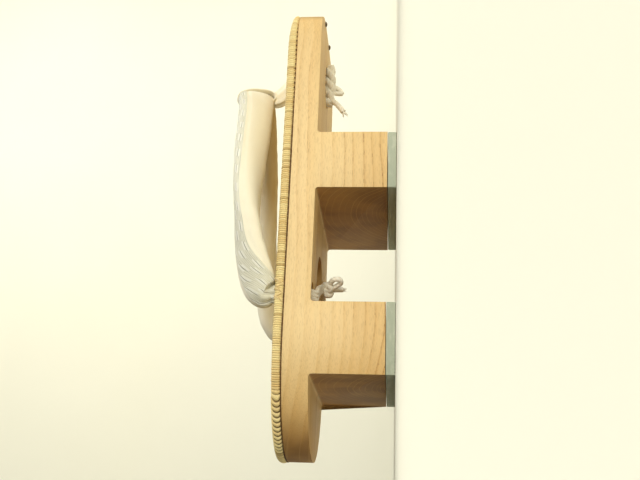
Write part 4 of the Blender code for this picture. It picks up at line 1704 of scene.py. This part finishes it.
@dataclass
class FrontTie:
    """The knotted bundle of cord under the front hole, with a loop and a loose end."""

    plan: Plan
    hang: float = 1.4 * MM
    bundle_length: float = 25.0 * MM
    strand_radius: float = 2.0 * MM
    twist_radius: float = 1.9 * MM
    twist_lay: float = 13.0 * MM

    def build(self) -> None:
        """Builds the bundle and dresses it."""
        finish = HempCord()
        level = self.plan.underside - self.hang
        start = self.plan.front_hole_y + 1.5 * MM - self.bundle_length / 2
        places = np.linspace(0.0, 1.0, 60)
        along = start + places * self.bundle_length
        draw = self.twist_radius * (0.35 + 0.65 * np.sin(math.pi * places.clip(0.02, 0.98)) ** 0.5)
        strands = []
        for number in range(2):
            turn = 2 * math.pi * places * self.bundle_length / self.twist_lay + math.pi * number
            path = np.stack([draw * np.cos(turn), along, level + draw * np.sin(turn)], axis=1)
            strands.append(twisted_cord(f"bundle_{number}", path, self.strand_radius, finish))
        stem = np.array([(0.0, self.plan.front_hole_y, z) for z in (level, self.plan.cord_top())])
        strands.append(twisted_cord("stem", stem, self.strand_radius, finish))
        strands += self.ends(start, level, finish)
        tie = join_pieces(strands, "front_tie_knot")
        cover(tie, finish.material())
        fit_piece(tie, "tie_cord", "front_tie")

    def ends(self, start: float, level: float, finish: HempCord) -> list[bpy.types.Object]:
        """The small loop and the loose end that leave the bundle, with their cut fibres.

        Args:
            start: Rear end of the bundle.
            level: Level of its middle.
            finish: The cord's finish.

        Returns:
            The pieces.
        """
        loose = [(0.0, 4.0, 0.0), (1.5, 0.5, -4.0), (2.0, -3.5, -7.2), (2.0, -5.6, -8.6)]
        loop = [(0.0, 9.0, 0.0), (-1.0, 8.0, -4.0), (-3.5, 9.5, -7.0), (-5.0, 12.5, -5.5)]
        loop += [(-4.0, 14.0, -2.5), (-1.5, 14.0, 0.0)]
        rows = [np.array(given) * MM + (0.0, start, level) for given in (loose, loop)]
        return [
            twisted_cord("loose_end", smooth_rows(rows[0], 8), self.strand_radius * 0.8, finish),
            twisted_cord("small_loop", smooth_rows(rows[1], 8), self.strand_radius * 0.7, finish),
            frayed_end("front_fibres", Vector(rows[0][-1]), Vector((0.1, -0.8, -0.6)), 3.4 * MM, 3),
        ]


@dataclass
class RearTie:
    """The cords from both rear holes, knotted in front of the rear tooth."""

    plan: Plan
    cord_radius: float = 1.25 * MM
    knot_radius: float = 4.6 * MM
    knot_advance: float = 12.0 * MM
    knot_offset: float = 7.0 * MM
    knot_scale: float = 1.02 * MM

    def build(self) -> None:
        """Builds the cords and the knot and dresses them."""
        finish = HempCord()
        cords = []
        for side in Side:
            for number, shift in enumerate((-1.0, 0.0, 1.0)):
                cords.append(self.run(side, shift, number, finish))
        centre = Vector((self.knot_offset, self.knot_y(), self.plan.underside - 0.3 * MM - self.knot_radius))
        turns = np.linspace(0.0, 2 * math.pi, 90)
        wide = np.sin(turns) + 2 * np.sin(2 * turns)
        long = np.cos(turns) - 2 * np.cos(2 * turns)
        knot = np.array(centre) + self.knot_scale * np.stack([wide, long, -1.7 * np.sin(3 * turns)], axis=1)
        cords.append(twisted_cord("knot", knot, self.cord_radius * 1.3, finish))
        cords += self.ends(centre, finish)
        tie = join_pieces(cords, "rear_tie_knot")
        cover(tie, finish.material())
        fit_piece(tie, "tie_cord", "rear_tie")

    def knot_y(self) -> float:
        """Place of the knot along the length."""
        return self.plan.rear_hole_y + self.knot_advance

    def run(self, side: Side, shift: float, number: int, finish: HempCord) -> bpy.types.Object:
        """One of the strands from a rear hole to the knot.

        Args:
            side: Which rear hole.
            shift: Strand's place beside the others, from -1 to 1.
            number: The strand's number.
            finish: The cord's finish.

        Returns:
            The strand.
        """
        under, level = self.plan.underside, self.plan.underside - 0.2 * MM - self.cord_radius
        aside = shift * self.cord_radius * 1.5
        hole_y, knot_y = self.plan.rear_hole_y, self.knot_y()
        hole = side.value * self.plan.rear_hole_x
        inward = -side.value
        end = self.knot_offset - inward * 1.5 * MM
        rows = [
            (hole + inward * 0.4 * abs(aside), hole_y + aside, self.plan.cord_top()),
            (hole, hole_y + aside, under + 1.8 * MM),
            (hole + inward * 1.8 * MM, hole_y + aside, level + 0.9 * MM),
            (hole + inward * 5.0 * MM, hole_y + 0.6 * MM + aside, level),
            ((hole + end) / 2, (hole_y + knot_y) / 2 + aside * 0.9, level),
            (end, knot_y + 0.5 * aside, level - 0.8 * MM),
        ]
        return twisted_cord(f"run_{side.name.lower()}_{number}", smooth_rows(rows, 6), self.cord_radius, finish)

    def ends(self, centre: Vector, finish: HempCord) -> list[bpy.types.Object]:
        """The ring-like loop and the loose end below the knot.

        Args:
            centre: Middle of the knot.
            finish: The cord's finish.

        Returns:
            The pieces.
        """
        loose = [(0.0, 0.0, 0.0), (-3.4, 1.0, -3.6), (-5.6, 1.8, -6.2), (-6.2, 2.0, -7.6)]
        loop = [(0.0, 0.0, -1.0), (2.4, 1.0, -4.4), (4.6, 2.2, -7.0)]
        loop += [(6.6, 3.4, -6.4), (6.2, 3.4, -3.4), (3.0, 2.0, -1.2)]
        rows = [[tuple(centre + Vector(row) * MM) for row in given] for given in (loose, loop)]
        return [
            twisted_cord("loose", smooth_rows(rows[0], 8), self.cord_radius * 1.2, finish),
            twisted_cord("ring_loop", smooth_rows(rows[1], 8), self.cord_radius * 1.1, finish),
            frayed_end("rear_fibres", Vector(rows[0][-1]), Vector((-0.5, 0.1, -0.9)), 1.8 * MM, 8),
        ]


@dataclass
class ToeTacks:
    """Domed tack heads near the toe edge of the underside."""

    count: int = 3
    rim_softness: float = 0.12 * MM

    def build(self) -> None:
        """Builds a tack head at each place and dresses it."""
        finish = DarkIron().material()
        for number in range(1, self.count + 1):
            node = f"toe_tack_{number}"
            low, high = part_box(node)
            centre = (Vector(low) + Vector(high)) / 2
            radius = (high[0] - low[0]) / 2
            head = self.head(centre, radius, high[2], high[2] - low[2])
            name_it(head, f"tack_head_{number}")
            cover(head, finish)
            fit_piece(head, "tack", node)

    def head(self, centre: Vector, radius: float, top: float, height: float) -> bpy.types.Object:
        """A low dome with an eased rim.

        Args:
            centre: Its middle.
            radius: Its radius.
            top: Level of its flat side.
            height: Its height.

        Returns:
            The dome.
        """
        bpy.ops.object.select_all(action="DESELECT")
        bpy.ops.mesh.primitive_uv_sphere_add(
            segments=24, ring_count=14, radius=radius, location=(centre.x, centre.y, top)
        )
        head = bpy.context.object
        head.scale = (1.0, 1.0, height / radius)
        settle(head)
        with editing(head):
            bpy.ops.mesh.bisect(plane_co=(0.0, 0.0, top), plane_no=UP, use_fill=True, clear_outer=True)
        limit = math.radians(50)
        apply_modifier(head, "BEVEL", width=self.rim_softness, segments=2, limit_method="ANGLE", angle_limit=limit)
        round_shading(head, 40.0)
        return head


@dataclass
class Studio:
    """The pale floor and backdrop, the soft lights, and the camera at the photograph's angle to the sandal."""

    focal_pixels: float = 880.0
    picture_width: float = 640.0
    sensor: float = 36.0
    place: Triple = (443.1 * MM, -166.0 * MM, 1.2 * MM)
    pitch: float = 20.218
    yaw: float = -0.589
    pan: float = -4.2
    roll: float = 0.423
    floor_size: tuple[float, float] = (3.2, 5.0)
    wall_height: float = 3.0
    wall_curve: float = 0.6
    room_strength: float = 0.125

    def set_camera(self) -> None:
        """Makes the camera. Its picture has the toe at the top and the floor to the right."""
        pitch, yaw, roll = (math.radians(v) for v in (self.pitch, self.yaw + self.pan, self.roll))
        base = Matrix(((0, 0, -1), (0, 1, 0), (1, 0, 0)))
        tipped = Matrix(((1, 0, 0), (0, math.cos(pitch), math.sin(pitch)), (0, -math.sin(pitch), math.cos(pitch))))
        panned = Matrix(((math.cos(yaw), 0, math.sin(yaw)), (0, 1, 0), (-math.sin(yaw), 0, math.cos(yaw))))
        rolled = Matrix(((math.cos(roll), math.sin(roll), 0), (-math.sin(roll), math.cos(roll), 0), (0, 0, 1)))
        to_camera = rolled @ panned @ tipped @ base
        data = bpy.data.cameras.new("camera")
        data.sensor_width = self.sensor
        data.lens = self.focal_pixels / self.picture_width * self.sensor
        data.clip_start = 1.0 * MM
        camera = bpy.data.objects.new("camera", data)
        camera.matrix_world = Matrix.Translation(self.place) @ to_camera.transposed().to_4x4()
        bpy.context.scene.collection.objects.link(camera)
        bpy.context.scene.camera = camera

    def set_stage(self) -> None:
        """Makes the floor, which curves up into a wall on the sandal's far side."""
        bpy.ops.object.select_all(action="DESELECT")
        bpy.ops.mesh.primitive_plane_add(size=1.0, location=(0.0, 0.0, 0.0))
        floor = name_it(bpy.context.object, "pale_floor")
        floor.scale = (*self.floor_size, 1.0)
        settle(floor)
        low = min(vertex.co.x for vertex in floor.data.vertices)
        self.pick_edges(floor, lambda place: abs(place.x - low) < 1e-6)
        bpy.ops.mesh.extrude_edges_move(TRANSFORM_OT_translate={"value": (0.0, 0.0, self.wall_height)})
        bpy.ops.object.mode_set(mode="OBJECT")
        self.pick_edges(floor, lambda place: abs(place.x - low) < 1e-6 and abs(place.z) < 1e-6)
        bpy.ops.mesh.bevel(offset=self.wall_curve, segments=24, affect="EDGES")
        bpy.ops.object.mode_set(mode="OBJECT")
        floor.data.shade_smooth()
        floor.data.materials.append(StagePaper().material())

    def pick_edges(self, piece: bpy.types.Object, wanted: Callable[[Vector], bool]) -> None:
        """Goes into edit mode with only the edges picked whose two ends are wanted.

        Args:
            piece: The piece.
            wanted: Says of a place whether it is wanted.
        """
        mesh = piece.data
        for face in mesh.polygons:
            face.select = False
        for vertex in mesh.vertices:
            vertex.select = wanted(vertex.co)
        for edge in mesh.edges:
            edge.select = all(mesh.vertices[index].select for index in edge.vertices)
        bpy.context.tool_settings.mesh_select_mode = (False, True, False)
        bpy.ops.object.mode_set(mode="EDIT")

    def set_lights(self) -> None:
        """Makes the key light, a low one beside it, those over the sandal, wall and floor, and the room's own."""
        sandal = (0.0, 0.0, 0.04)
        self.soft_light("key", (2.2, 0.85, 0.50), sandal, 0.45, 24.5, (1.0, 0.975, 0.87))
        self.soft_light("low", (1.7, 0.35, 0.10), sandal, 0.30, 7.8, (1.0, 0.98, 0.91))
        self.soft_light("top", (0.1, 0.9, 1.6), sandal, 0.9, 15.0, (1.0, 0.985, 0.92))
        self.soft_light("wall", (-0.5, 1.15, 1.2), (-1.6, 1.0, 0.4), 1.0, 11.0, (1.0, 0.98, 0.86))
        self.soft_light("near_floor", (0.40, -0.15, 0.45), (0.40, -0.15, 0.0), 0.25, 0.14, (1.0, 0.98, 0.88), 60.0)
        world = bpy.data.worlds.new("room")
        bpy.context.scene.world = world
        world.use_nodes = True
        background = world.node_tree.nodes["Background"]
        background.inputs["Color"].default_value = tint(255, 252, 240)
        background.inputs["Strength"].default_value = self.room_strength
        bpy.context.scene.view_settings.view_transform = "Standard"

    def soft_light(
        self,
        name: str,
        place: Triple,
        aim: Triple,
        size: float,
        power: float,
        colour: Triple,
        spread: float = 180.0,
    ) -> None:
        """Makes a square area light.

        Args:
            name: Its name.
            place: Where it stands.
            aim: What it faces.
            size: Length of its side.
            power: Its power in watts.
            colour: Its colour.
            spread: Angle of its beam in degrees.
        """
        data = bpy.data.lights.new(name, "AREA")
        data.spread = math.radians(spread)
        data.size = size
        data.energy = power
        data.color = colour
        light = bpy.data.objects.new(name, data)
        towards = Vector(aim) - Vector(place)
        light.matrix_world = Matrix.Translation(place) @ towards.to_track_quat("-Z", "Y").to_matrix().to_4x4()
        bpy.context.scene.collection.objects.link(light)


def main() -> None:
    """Builds the camera, then every piece of the sandal, then the stage and the lights."""
    logging.basicConfig(level=logging.INFO, format="%(name)s: %(message)s")
    studio = Studio()
    studio.set_camera()
    plan = Plan()
    bands = ThongBands(plan)
    WoodenBlock().build()
    RubberPlates(plan).build()
    WovenMat(plan).build()
    bands.build()
    ToeThong(plan, bands).build()
    FrontTie(plan).build()
    RearTie(plan).build()
    ToeTacks().build()
    studio.set_stage()
    studio.set_lights()


if __name__ == "__main__":
    main()
